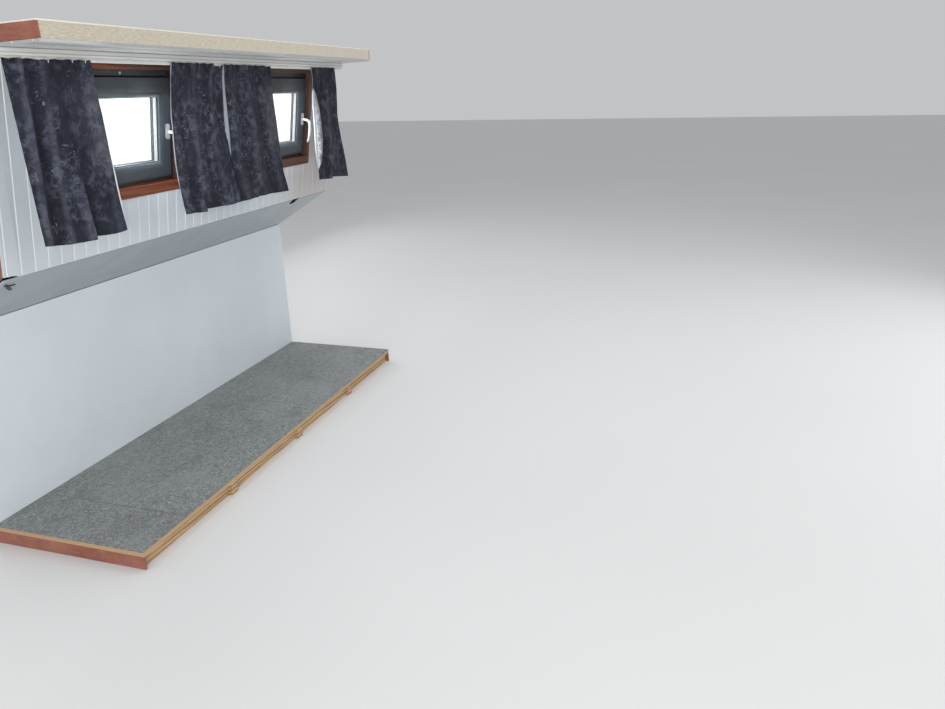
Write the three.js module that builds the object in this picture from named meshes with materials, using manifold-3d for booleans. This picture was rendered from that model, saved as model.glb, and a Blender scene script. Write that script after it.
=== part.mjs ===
// Side section of a Dutch barge's saloon, two window bays long.
// It is cut out of the hull by two planes across the barge and one plane along it, and holds the hull
// side, the side deck, the leaning coaming with two opening windows, the roof edge, the inside linings,
// the floor edge and two pairs of short curtains.
// Millimetres. +X forward along the barge, +Y outboard, +Z up. X = 0 midway between the cuts across,
// Y = 0 midway between the cut along the barge and the rubbing band, Z = 0 under the floor bearers.
import * as THREE from "three";
import { mergeVertices } from "three/addons/utils/BufferGeometryUtils.js";
import Module from "manifold-3d";

const wasm = await Module();
wasm.setup();

// ---- driving dimensions ----
const GAP = 0.3; // fit between pieces that touch
const LEN = 2487; // length of the section
const HALF = LEN / 2;
const WINDOW_X = [-598.25, 621.75]; // middle of each window
const LEAN = Math.atan(0.1603); // the coaming leans inboard by 9.1 degrees
const FLOOR = 84; // top of the carpet
const CUT_Y = -433; // the cut along the barge
const BEARER_H = 60, BOARD_T = 18, CARPET_T = 6;

const Z_CEIL = 1939; // underside of the ceiling boards at the coaming
const Z_LIP = 1166.5; // lower edge of the coaming boards
const Y_LIP = -60.88;
const Z_LOW = 934; // where the sloping panel meets the hull lining
const Y_LOW = 317;
const BOARD = 63.32; // width of a coaming board
const CEIL_BOARD = 85; // width of a ceiling board
const LINING_T = 10;
const CAVITY = 65; // face of the coaming boards to the inside of the coaming plate
const COAMING_T = 5;
const PANEL_T = 8; // the sloping panel
const HULL_LINING_T = 9;
const HULL_IN_Y = 387, HULL_T = 6; // hull plate
const Z_DECK_IN = 1195, Z_DECK_OUT = 1181, DECK_T = 5; // upper face of the side deck
const Z_RAIL = 1292; // top of the hull plate above the deck
const CAMBER = Math.tan(THREE.MathUtils.degToRad(2.2)); // rise of the roof inboard
const CEIL_T = 10, BEAM_H = 52, ROOF_T = 5;
const FRAME_T = 8; // plate of the end frames

// window, measured in the plane of the coaming boards: u along the barge, v up the slope
const WIN_W = 704, SILL_V = 0, HEAD_V = 542; // outside of the wooden surround
const SILL_Z = 1369; // height of the surround's lower edge
const JAMB_T = 20, SILL_T = 47, HEAD_T = 19.5;
const PROUD = 6; // surround stands into the room by this
const FRAME_IN = 28; // the fixed frame's face behind the boards' face
const FRAME_SHOW = 27.5; // fixed frame's width at the face
const CLEAR = 5; // between sash and fixed frame
const SASH_W = 74; // width of a sash bar
const SASH_FACE = 12, SASH_BACK = 60;
const GLASS_U = 224, GLASS_V0 = 131.5, GLASS_V1 = 410.5; // edge of the glass
const SWING = 80; // degrees that the sash opens

const wall = (z) => Y_LIP - Math.tan(LEAN) * (z - Z_LIP); // Y of the boards' face at height z
const n = { y: Math.cos(LEAN), z: Math.sin(LEAN) }; // outboard normal of the coaming
const roofUnder = (y) => Z_CEIL + CAMBER * (wall(Z_CEIL) - y); // underside of the ceiling boards

// ---- colours and finishes ----
const mat = (color, roughness, metalness = 0) =>
  new THREE.MeshStandardMaterial({ color, roughness, metalness });
const M = {
  white: mat(0xd9dadb, 0.35),
  grey_panel: mat(0xa3a6a8, 0.55),
  mahogany: mat(0x7a3319, 0.4),
  dark_frame: mat(0x23262a, 0.45),
  glass: mat(0xe8f1f2, 0.05),
  spacer: mat(0xc9cccd, 0.35, 0.8),
  handle: mat(0xf2f2ef, 0.3),
  curtain: mat(0x2b2e38, 0.85),
  rail: mat(0xe6e6e2, 0.4),
  carpet: mat(0x686e6e, 0.95),
  ply: mat(0xb08a5a, 0.7),
  timber: mat(0xa9855a, 0.8),
  insulation: mat(0xc9b173, 0.95),
  hull: mat(0x17191d, 0.45, 0.2),
  deck: mat(0x6f7577, 0.8, 0.1),
  coaming: mat(0xe4dfcf, 0.4, 0.1),
  steel_inner: mat(0x8c4a36, 0.7, 0.2),
};

const root = new THREE.Group();

// ---- helpers ----
const solid = (geometry) => {
  const g = geometry.clone();
  g.deleteAttribute("normal");
  g.deleteAttribute("uv");
  const m = mergeVertices(g, 1e-3);
  return new wasm.Manifold(
    new wasm.Mesh({
      numProp: 3,
      vertProperties: new Float32Array(m.attributes.position.array),
      triVerts: new Uint32Array(m.index.array),
    }),
  );
};
const toGeometry = (manifold) => {
  const mesh = manifold.getMesh();
  const g = new THREE.BufferGeometry();
  g.setAttribute("position", new THREE.BufferAttribute(new Float32Array(mesh.vertProperties), 3));
  g.setIndex(new THREE.BufferAttribute(new Uint32Array(mesh.triVerts), 1));
  g.computeVertexNormals();
  return g;
};
const add = (name, geometry, material, parent = root) => {
  const mesh = new THREE.Mesh(geometry, material);
  mesh.name = name;
  parent.add(mesh);
  return mesh;
};
const shapeOf = (points) => {
  const s = new THREE.Shape();
  points.forEach(([a, b], i) => (i ? s.lineTo(a, b) : s.moveTo(a, b)));
  s.closePath();
  return s;
};
// a section drawn in Y and Z, run along X
const AXES_YZ = new THREE.Matrix4().makeBasis(
  new THREE.Vector3(0, 1, 0), new THREE.Vector3(0, 0, 1), new THREE.Vector3(1, 0, 0));
const alongX = (shape, x0, x1) =>
  new THREE.ExtrudeGeometry(shape, { depth: x1 - x0, bevelEnabled: false, curveSegments: 10 })
    .applyMatrix4(AXES_YZ).translate(x0, 0, 0);
// a shape drawn in X and Z, run along Y from y0 to y1
const AXES_XZ = new THREE.Matrix4().makeBasis(
  new THREE.Vector3(1, 0, 0), new THREE.Vector3(0, 0, 1), new THREE.Vector3(0, -1, 0));
const alongY = (shape, y0, y1) =>
  new THREE.ExtrudeGeometry(shape, { depth: y1 - y0, bevelEnabled: false, curveSegments: 8 })
    .applyMatrix4(AXES_XZ).translate(0, y1, 0);
const rect = (x0, x1, z0, z1) => shapeOf([[x0, z0], [x1, z0], [x1, z1], [x0, z1]]);
const slab = (x0, x1, y0, y1, z0, z1) =>
  new THREE.BoxGeometry(x1 - x0, y1 - y0, z1 - z0)
    .translate((x0 + x1) / 2, (y0 + y1) / 2, (z0 + z1) / 2);
const ring = (outer, inner, y0, y1) => {
  const s = rect(...outer);
  s.holes.push(rect(...inner));
  return alongY(s, y0, y1);
};

// ---- floor edge ----
add("floor_board", slab(-HALF, HALF, CUT_Y, Y_LOW + HULL_LINING_T, BEARER_H + GAP, BEARER_H + BOARD_T), M.ply);
add("floor_carpet", slab(-HALF, HALF, CUT_Y, Y_LOW - GAP, BEARER_H + BOARD_T + GAP, FLOOR), M.carpet);
// three cross bearers between the end frames, halved into one long bearer near the cut
{
  let s = solid(slab(-HALF + FRAME_T + GAP, HALF - FRAME_T - GAP, CUT_Y + 22, CUT_Y + 67, 0, BEARER_H));
  for (const x of [-LEN / 4, 0, LEN / 4])
    s = s.add(solid(slab(x - 22.5, x + 22.5, CUT_Y, Y_LOW + HULL_LINING_T, 0, BEARER_H)));
  add("floor_bearers", toGeometry(s), M.timber);
}

// ---- hull side, side deck and roof ----
const deckTop = (y) => Z_DECK_IN + ((Z_DECK_OUT - Z_DECK_IN) * (y - 5)) / (HULL_IN_Y - 5);
const coamY = (z, off) => wall(z) + off / n.y; // Y at height z of the plane off outboard of the boards
const roofTop = (y) => roofUnder(y) + CEIL_T + BEAM_H + ROOF_T;
const roofBottom = (y) => roofTop(y) - ROOF_T;

add("hull_side_plate", alongX(rect(HULL_IN_Y, HULL_IN_Y + HULL_T, 0, Z_RAIL), -HALF, HALF), M.hull);

// rubbing band: a doubling plate with a half-round bar along its upper and lower edge
{
  const s = new THREE.Shape(), y = HULL_IN_Y + HULL_T + GAP, t = 14, r = 20;
  s.moveTo(y, 968);
  s.lineTo(y + t, 968);
  s.absarc(y + 20, 988, r, -Math.PI / 2, Math.PI / 2, false);
  s.lineTo(y + t, 1008);
  s.lineTo(y + t, 1138);
  s.absarc(y + 20, 1158, r, -Math.PI / 2, Math.PI / 2, false);
  s.lineTo(y, 1178);
  s.closePath();
  add("rubbing_band", alongX(s, -HALF, HALF), M.hull);
}
// rail: a round-topped steel capping that straddles the top edge of the hull plate
{
  const s = new THREE.Shape(), y = HULL_IN_Y + HULL_T / 2, r = 17, z = Z_RAIL + GAP;
  s.moveTo(y - r, z);
  s.lineTo(y + r, z);
  s.absarc(y, z + 8, r, 0, Math.PI, false);
  s.closePath();
  add("bulwark_capping", alongX(s, -HALF, HALF), M.hull);
}
const Z_COAM_FOOT = Z_DECK_IN + GAP + 0.2;
add("side_deck_plate", alongX(shapeOf([
  [coamY(Z_DECK_IN, CAVITY) - 2, deckTop(0) - DECK_T], [HULL_IN_Y - GAP, deckTop(HULL_IN_Y) - DECK_T],
  [HULL_IN_Y - GAP, deckTop(HULL_IN_Y)], [coamY(Z_DECK_IN, CAVITY) - 2, deckTop(0)]]), -HALF, HALF), M.deck);

// the window group's frame: origin at the surround's lower edge, on the face of the coaming boards
const bay = (k) => {
  const g = new THREE.Group();
  g.position.set(WINDOW_X[k], wall(SILL_Z), SILL_Z);
  g.rotation.x = LEAN;
  g.updateMatrixWorld(true);
  return g;
};
const bays = [bay(0), bay(1)];
const inBay = (geometry, g) => geometry.clone().applyMatrix4(g.matrixWorld);

// coaming plate and coaming boards, with the windows cut out of both
const cutWindows = (geometry, grow, y0, y1) => {
  let s = solid(geometry);
  for (const g of bays) {
    const hole = alongY(rect(-WIN_W / 2 - grow, WIN_W / 2 + grow, SILL_V - grow, HEAD_V + grow), y0, y1);
    s = s.subtract(solid(inBay(hole, g)));
  }
  return s;
};
{
  const zTop = roofBottom(coamY(Z_CEIL + 60, CAVITY)) - GAP;
  const band = shapeOf([
    [coamY(Z_COAM_FOOT, CAVITY), Z_COAM_FOOT], [coamY(Z_COAM_FOOT, CAVITY + COAMING_T), Z_COAM_FOOT],
    [coamY(zTop, CAVITY + COAMING_T), zTop], [coamY(zTop, CAVITY), zTop]]);
  add("coaming_plate", toGeometry(cutWindows(alongX(band, -HALF, HALF), GAP, 30, 120)), M.coaming);
}
{
  // boards: a flat back, a V groove at each joint
  const g = 3.8, d = 3.2, phase = 9.8;
  const pts = [[-HALF, LINING_T], [-HALF, 0]];
  for (let x = -HALF + phase; x < HALF - 3; x += BOARD)
    if (x > -HALF + 3) pts.push([x - g, 0], [x, d], [x + g, 0]);
  pts.push([HALF, 0], [HALF, LINING_T]);
  const vTop = (Z_CEIL - GAP - 2.5 - Z_LIP) / Math.cos(LEAN);
  // drawn in X and outboard, run up the slope
  const s = new THREE.Shape();
  pts.forEach(([a, b], i) => (i ? s.lineTo(a, -b) : s.moveTo(a, -b)));
  s.closePath();
  const up = new THREE.Matrix4().makeBasis(
    new THREE.Vector3(1, 0, 0), new THREE.Vector3(0, -1, 0), new THREE.Vector3(0, 0, -1));
  const boards = new THREE.ExtrudeGeometry(s, { depth: vTop, bevelEnabled: false }).applyMatrix4(up)
    .translate(0, 0, vTop);
  boards.applyMatrix4(new THREE.Matrix4().makeRotationX(LEAN)).translate(0, Y_LIP, Z_LIP);
  // the lower edge is broken away at the aft end: x, then how far up from the edge
  const chip = shapeOf([[-HALF - 2, -4], [-HALF - 2, 9], [-1236, 10.5], [-1222, 8], [-1214, 9.5], [-1201, 6], [-1192, 7], [-1180, -4]]
    .map(([x, z]) => [x, Z_LIP + z]));
  add("coaming_boards", toGeometry(cutWindows(boards, GAP, -20, 40)
    .subtract(solid(alongY(chip, Y_LIP - 20, Y_LIP + 30)))), M.white);
}

// ceiling boards: joints run along the barge
{
  const y1 = wall(Z_CEIL) + 8, g = 2.2, d = 3;
  const pts = [];
  const under = (y) => roofUnder(y);
  pts.push([CUT_Y, under(CUT_Y)]);
  for (const y of [CUT_Y + 26, CUT_Y + 26 + CEIL_BOARD])
    pts.push([y - g, under(y - g)], [y - g, under(y) + d], [y + g, under(y) + d], [y + g, under(y + g)]);
  pts.push([y1, under(y1)], [y1, under(y1) + CEIL_T], [CUT_Y, under(CUT_Y) + CEIL_T]);
  add("ceiling_boards", alongX(shapeOf(pts), -HALF, HALF), M.white);
}
// roof plate with a turned-down edge
{
  const yo = coamY(Z_CEIL + 60, CAVITY + COAMING_T) + 26;
  const pts = [[CUT_Y, roofBottom(CUT_Y)], [yo - ROOF_T, roofBottom(yo - ROOF_T)], [yo - ROOF_T, roofBottom(yo) - 26],
    [yo, roofBottom(yo) - 26], [yo, roofTop(yo) - 3], [yo - 3, roofTop(yo - 3)], [CUT_Y, roofTop(CUT_Y)]];
  add("roof_plate", alongX(shapeOf(pts), -HALF, HALF), M.coaming);
}

// sloping panel under the side deck, and the lining of the hull side
const slope = { y: Y_LOW - Y_LIP, z: Z_LOW - Z_LIP };
const sl = Math.hypot(slope.y, slope.z);
const pn = { y: -slope.z / sl, z: slope.y / sl }; // up and outboard
{
  const panel = alongX(shapeOf([
    [Y_LIP + 6, Z_LIP - 4.4], [Y_LOW, Z_LOW], [Y_LOW + pn.y * PANEL_T, Z_LOW + pn.z * PANEL_T],
    [Y_LIP + 6 + pn.y * PANEL_T, Z_LIP - 4.4 + pn.z * PANEL_T - 3.2]]), -HALF, HALF);
  // a ragged hole in its upper edge, where a cable was led through: x, and how far down
  const hole = shapeOf([[806, 12], [818, -6], [832, -22], [846, -32], [866, -38], [895, -38], [921, -30], [914, -14], [902, -2], [898, 12]]
    .map(([x, z]) => [x, Z_LIP + z]));
  add("sloping_panel", toGeometry(solid(panel).subtract(solid(alongY(hole, Y_LIP - 10, Y_LIP + 90)))), M.grey_panel);
}
add("hull_lining", alongX(shapeOf([
  [Y_LOW, BEARER_H + BOARD_T + GAP], [Y_LOW + HULL_LINING_T, BEARER_H + BOARD_T + GAP],
  [Y_LOW + HULL_LINING_T, Z_LOW - 8], [Y_LOW, Z_LOW - 2]]), -HALF, HALF), M.white);

// ring frames at the two cuts: floor bearer, hull rib, deck knee, coaming rib and roof beam in one welded frame
{
  const A = (z, off) => [coamY(z, off), z];
  const zRoof = (y) => roofBottom(y) - GAP;
  const yi = coamY(1960, LINING_T + GAP), panelUp = (t) => [
    Y_LIP + 6 + pn.y * (PANEL_T + 3) + t * slope.y, Z_LIP - 4.4 + pn.z * (PANEL_T + 3) + t * slope.z];
  const zb = (y) => roofUnder(y) + CEIL_T + GAP;
  const outline = [
    [CUT_Y, 0], [HULL_IN_Y - GAP, 0], [HULL_IN_Y - GAP, deckTop(HULL_IN_Y) - DECK_T - GAP],
    [coamY(Z_DECK_IN, CAVITY) - 2, deckTop(0) - DECK_T - GAP], [coamY(Z_DECK_IN, CAVITY) - 2 - GAP, deckTop(0) + 0.5],
    A(Z_DECK_IN + 1, CAVITY - GAP), A(zRoof(coamY(2000, CAVITY)), CAVITY - GAP), [CUT_Y, zRoof(CUT_Y)],
    [CUT_Y, zb(CUT_Y)], [wall(Z_CEIL) + 8.3 + 3, zb(wall(Z_CEIL) + 11)], A(Z_CEIL - 1, LINING_T + GAP),
    A(Z_LIP + 14, LINING_T + GAP), panelUp(0.03), panelUp(0.99),
    [Y_LOW + HULL_LINING_T + GAP, Z_LOW - 8], [Y_LOW + HULL_LINING_T + GAP, BEARER_H], [CUT_Y, BEARER_H]];
  for (const [name, x0] of [["ring_frame_aft", -HALF], ["ring_frame_fwd", HALF - FRAME_T]])
    add(name, alongX(shapeOf(outline), x0, x0 + FRAME_T), M.steel_inner);
  // insulation that shows at the cut and from below
  const x0 = -HALF + FRAME_T + GAP, x1 = HALF - FRAME_T - GAP, ye = wall(Z_CEIL) - 2;
  add("roof_insulation", alongX(shapeOf([
    [CUT_Y, zb(CUT_Y)], [ye, zb(ye)], [ye, zRoof(ye)], [CUT_Y, zRoof(CUT_Y)]]), x0, x1), M.insulation);
  add("hull_insulation", slab(x0, x1, Y_LOW + HULL_LINING_T + GAP, HULL_IN_Y - GAP, BEARER_H + 4, Z_LOW - 12), M.insulation);
}

// lath and curtain track under the ceiling
const RAIL_Y = -243; // plane in which the curtains hang
const LATH_Z = Z_CEIL - 22.5; // underside of the lath
const TRACK = { y: RAIL_Y - 3, half: 6, neck: 2.2, wall: 1.6, slot: 2, shoulder: LATH_Z - 5.5, low: LATH_Z - 15 };
{
  // the lath's lower edge stands out as a bead
  const top = (y) => roofUnder(y) - GAP;
  add("curtain_lath", alongX(shapeOf([
    [RAIL_Y - 11, LATH_Z], [RAIL_Y + 5, LATH_Z], [RAIL_Y + 5, top(RAIL_Y + 5)], [RAIL_Y - 6, top(RAIL_Y - 6)],
    [RAIL_Y - 6, LATH_Z + 11], [RAIL_Y - 9, LATH_Z + 10], [RAIL_Y - 11, LATH_Z + 8]]), -HALF, HALF), M.white);
  // a slim track on a neck under the lath, open below
  const { y, half, neck, wall: t, slot, shoulder, low } = TRACK, z = LATH_Z - GAP;
  add("curtain_track", alongX(shapeOf([
    [y - neck, z], [y - neck, shoulder], [y - half, shoulder], [y - half, low], [y - slot, low], [y - slot, low + t],
    [y - half + t, low + t], [y - half + t, shoulder - t], [y + half - t, shoulder - t], [y + half - t, low + t],
    [y + slot, low + t], [y + slot, low], [y + half, low], [y + half, shoulder], [y + neck, shoulder], [y + neck, z]]),
    -HALF + 20, HALF - 20), M.rail);
}

// ---- windows ----
const uIn = WIN_W / 2 - JAMB_T; // inside of the jambs
const F = { u: uIn - GAP, v0: SILL_T - 13.5, v1: HEAD_V - HEAD_T - GAP }; // outside of the fixed frame
const S = { u: F.u - FRAME_SHOW - CLEAR, v0: 0, v1: F.v1 - FRAME_SHOW - CLEAR }; // outside of the sash
S.v0 = F.v0 + FRAME_SHOW + CLEAR - 1;
const HINGE = { u: -S.u - 2.5, y: SASH_FACE - 10 }; // hinge line, in u and outboard depth
bays.forEach((g, k) => {
  root.add(g);
  const id = "window_" + (k + 1) + "_";
  // wooden surround: sill, head and two jambs, deep enough to reach the coaming plate
  const outer = [-WIN_W / 2, WIN_W / 2, SILL_V, HEAD_V];
  const front = solid(ring(outer, [-uIn, uIn, SILL_T, HEAD_V - HEAD_T], -PROUD, FRAME_IN - GAP));
  const rear = solid(ring(outer, [-uIn, uIn, F.v0 - GAP, HEAD_V - HEAD_T], FRAME_IN - GAP, CAVITY - 1));
  add(id + "surround", toGeometry(front.add(rear)), M.mahogany, g);
  // fixed frame: body, stop behind the sash, flange outside the plate
  const o = [-F.u, F.u, F.v0, F.v1];
  const room = [-S.u - CLEAR, S.u + CLEAR, S.v0 - CLEAR, S.v1 + CLEAR];
  const stop = [-S.u + 30, S.u - 30, S.v0 + 30, S.v1 - 30];
  const body = solid(ring(o, room, FRAME_IN, SASH_BACK + CLEAR))
    .add(solid(ring(o, stop, SASH_BACK + CLEAR - 0.01, CAVITY + COAMING_T + 4.5)))
    .add(solid(ring([-WIN_W / 2 - 12, WIN_W / 2 + 12, SILL_V - 12, HEAD_V + 12], stop,
      CAVITY + COAMING_T + GAP, CAVITY + COAMING_T + 4.5)));
  add(id + "frame", toGeometry(body), M.dark_frame, g);
  // sash: room side with a sloped bead round the glass, a pocket for the glazed unit
  const so = [-S.u, S.u, S.v0, S.v1], gl = [-GLASS_U, GLASS_U, GLASS_V0, GLASS_V1];
  const grown = (r, d) => [r[0] - d, r[1] + d, r[2] - d, r[3] + d];
  // its back half is narrower all round, so that the free edge swings clear
  const sash = solid(ring(so, gl, SASH_FACE, 32))
    .add(solid(ring(grown(so, -4), gl, 31, SASH_BACK - 8)))
    .add(solid(ring(grown(so, -4), grown(gl, -3), SASH_BACK - 12, SASH_BACK)))
    .subtract(solid(alongY(rect(...grown(gl, 9)), SASH_FACE + 10, SASH_BACK - 12)));
  add(id + "sash", toGeometry(sash), M.dark_frame, g);
  // glazed unit: two panes with a light spacer between them
  const p = grown(gl, 9 - GAP);
  const t0 = SASH_FACE + 10 + GAP;
  add(id + "inner_pane", alongY(rect(...p), t0, t0 + 4), M.glass, g);
  add(id + "spacer", ring(p, grown(gl, -0.5), t0 + 4 + GAP, t0 + 20.5), M.spacer, g);
  add(id + "outer_pane", alongY(rect(...p), t0 + 20.8, SASH_BACK - 12 - GAP), M.glass, g);
  // hinges: the lower half on the fixed frame with the pin, the upper half on the sash
  const knuckle = (v0, v1) =>
    new THREE.CylinderGeometry(7, 7, v1 - v0, 20).rotateX(Math.PI / 2).translate(HINGE.u, HINGE.y, (v0 + v1) / 2);
  [["lower", S.v0 + 22], ["upper", S.v1 - 92]].forEach(([where, v]) => {
    const fixed = solid(knuckle(v, v + 34))
      .add(solid(slab(HINGE.u - 6, HINGE.u - 1.6, HINGE.y, FRAME_IN - GAP, v, v + 34)))
      .add(solid(slab(-F.u + 3, HINGE.u - 1.6, FRAME_IN - 3.5, FRAME_IN - GAP, v - 2, v + 36)));
    add(id + "hinge_" + where + "_fixed", toGeometry(fixed), M.dark_frame, g);
    const moving = solid(knuckle(v + 35, v + 70))
      .add(solid(slab(HINGE.u, HINGE.u + 24, SASH_FACE - 4, SASH_FACE - GAP, v + 35, v + 70)));
    add(id + "hinge_" + where + "_sash", toGeometry(moving), M.dark_frame, g);
  });
  // handle: a plate on the sash, and a cranked lever that points down when the sash is locked
  const hu = 276, hv = 262;
  const plate = new THREE.Shape();
  const pw = 12, ph = 33.5, pr = 10.5, pt = 7;
  plate.moveTo(hu - pw + pr, hv - ph);
  plate.lineTo(hu + pw - pr, hv - ph);
  plate.absarc(hu + pw - pr, hv - ph + pr, pr, -Math.PI / 2, 0, false);
  plate.lineTo(hu + pw, hv + ph - pr);
  plate.absarc(hu + pw - pr, hv + ph - pr, pr, 0, Math.PI / 2, false);
  plate.lineTo(hu - pw + pr, hv + ph);
  plate.absarc(hu - pw + pr, hv + ph - pr, pr, Math.PI / 2, Math.PI, false);
  plate.lineTo(hu - pw, hv - ph + pr);
  plate.absarc(hu - pw + pr, hv - ph + pr, pr, Math.PI, 1.5 * Math.PI, false);
  add(id + "handle_plate", alongY(plate, SASH_FACE - pt, SASH_FACE - GAP), M.handle, g);
  const y0 = SASH_FACE - pt - GAP;
  const path = new THREE.CurvePath();
  const P = (dv, out) => new THREE.Vector3(hu, y0 - out, hv + dv);
  path.add(new THREE.LineCurve3(P(0, 0), P(0, 22)));
  path.add(new THREE.QuadraticBezierCurve3(P(0, 22), P(0, 44), P(-22, 47)));
  path.add(new THREE.CubicBezierCurve3(P(-22, 47), P(-60, 52), P(-95, 50), P(-128, 38)));
  const bar = new THREE.Shape();
  bar.absellipse(0, 0, 7.5, 9.5, 0, 2 * Math.PI, false, 0);
  const lever = new THREE.ExtrudeGeometry(bar, { steps: 26, extrudePath: path, curveSegments: 6 });
  add(id + "handle_lever", lever, M.handle, g);
});

// ---- curtains: plain bodies of the gathered cloth, in the plane that they hang in ----
// name, window, left and right edge at the top, left and right edge at the hem (from the window's centre)
const CURTAINS = [
  ["curtain_1_left", 0, -625, -234, -628, -202],
  ["curtain_1_right", 0, 214, 586, 153, 609],
  ["curtain_2_left", 1, -623, -220, -604, -156],
  ["curtain_2_right", 1, 226, 526, 202, 587],
];
for (const [name, k, a, b, c, d] of CURTAINS) {
  const x = WINDOW_X[k], z1 = TRACK.low - GAP, z0 = FLOOR + 1192;
  add(name, alongY(shapeOf([[x + c, z0], [x + d, z0], [x + b, z1], [x + a, z1]]), RAIL_Y - 26, RAIL_Y + 26), M.curtain);
}

export default root;
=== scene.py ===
import math

import bpy
import bmesh
import numpy as np
from mathutils import Matrix, Vector


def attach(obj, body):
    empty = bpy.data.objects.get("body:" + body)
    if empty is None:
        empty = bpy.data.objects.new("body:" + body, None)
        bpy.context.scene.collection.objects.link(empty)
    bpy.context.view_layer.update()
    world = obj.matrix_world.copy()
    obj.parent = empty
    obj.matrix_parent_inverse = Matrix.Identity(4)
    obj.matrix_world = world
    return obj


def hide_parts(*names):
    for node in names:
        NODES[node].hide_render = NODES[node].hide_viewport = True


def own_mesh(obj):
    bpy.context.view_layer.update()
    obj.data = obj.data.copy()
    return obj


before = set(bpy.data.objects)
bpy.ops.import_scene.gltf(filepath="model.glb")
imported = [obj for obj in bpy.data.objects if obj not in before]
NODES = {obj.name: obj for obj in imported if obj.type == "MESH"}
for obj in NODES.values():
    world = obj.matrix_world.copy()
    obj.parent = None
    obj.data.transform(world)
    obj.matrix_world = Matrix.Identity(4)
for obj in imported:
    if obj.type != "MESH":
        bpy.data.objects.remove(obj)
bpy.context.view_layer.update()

# ---------------------------------------------------------------- sizes, in metres, as in the part
HALF = 1.2435
WIN_X = {1: -0.59825, 2: 0.62175}
T_LEAN = 0.1603
LEAN = math.atan(T_LEAN)
Y_LIP, Z_LIP = -0.06088, 1.1665
Z_CEIL = 1.939
CUT_Y = -0.433
Y_LOW, Z_LOW = 0.317, 0.934
SILL_Z = 1.369
FLOOR_Z = 0.084
CAVITY, COAMING_T = 0.065, 0.005
HULL_IN, HULL_T = 0.387, 0.006
Z_DECK_IN, Z_DECK_OUT = 1.195, 1.181
Z_RAIL = 1.292
WIN_W, HEAD_V = 0.704, 0.542
JAMB_T, SILL_T, HEAD_T = 0.020, 0.047, 0.0195
U_IN = WIN_W / 2 - JAMB_T
F_U, F_V0, F_V1 = U_IN - 0.0003, SILL_T - 0.0135, HEAD_V - HEAD_T - 0.0003
S_U = F_U - 0.0275 - 0.005
S_V0, S_V1 = F_V0 + 0.0275 + 0.004, F_V1 - 0.0275 - 0.005
GL_U, GL_V0, GL_V1 = 0.224, 0.1315, 0.4105
HANDLE_U, HANDLE_V = 0.276, 0.262
RAIL_Y = -0.243
BOARD = 0.06332
TRACK_Y = RAIL_Y - 0.003
LATH_Z = Z_CEIL - 0.0225
TRACK_HI, TRACK_LO = LATH_Z - 0.0055, LATH_Z - 0.0150
UP = Vector((0, -math.sin(LEAN), math.cos(LEAN)))  # up the slope of the coaming
OUT = Vector((0, math.cos(LEAN), math.sin(LEAN)))  # square to it, outboard


def wall(z):
    return Y_LIP - T_LEAN * (z - Z_LIP)


def win(k, u, y, v):
    """A point of window k, 1 or 2: u along the barge, y outboard of the boards' face, v up the slope."""
    return Vector((WIN_X[k] + u, wall(SILL_Z), SILL_Z)) + OUT * y + UP * v


WIN_M = {
    k: Matrix.Translation(win(k, 0, 0, 0)) @ Matrix.Rotation(LEAN, 4, "X")
    for k in (1, 2)
}

# ---------------------------------------------------------------- node helpers


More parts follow.
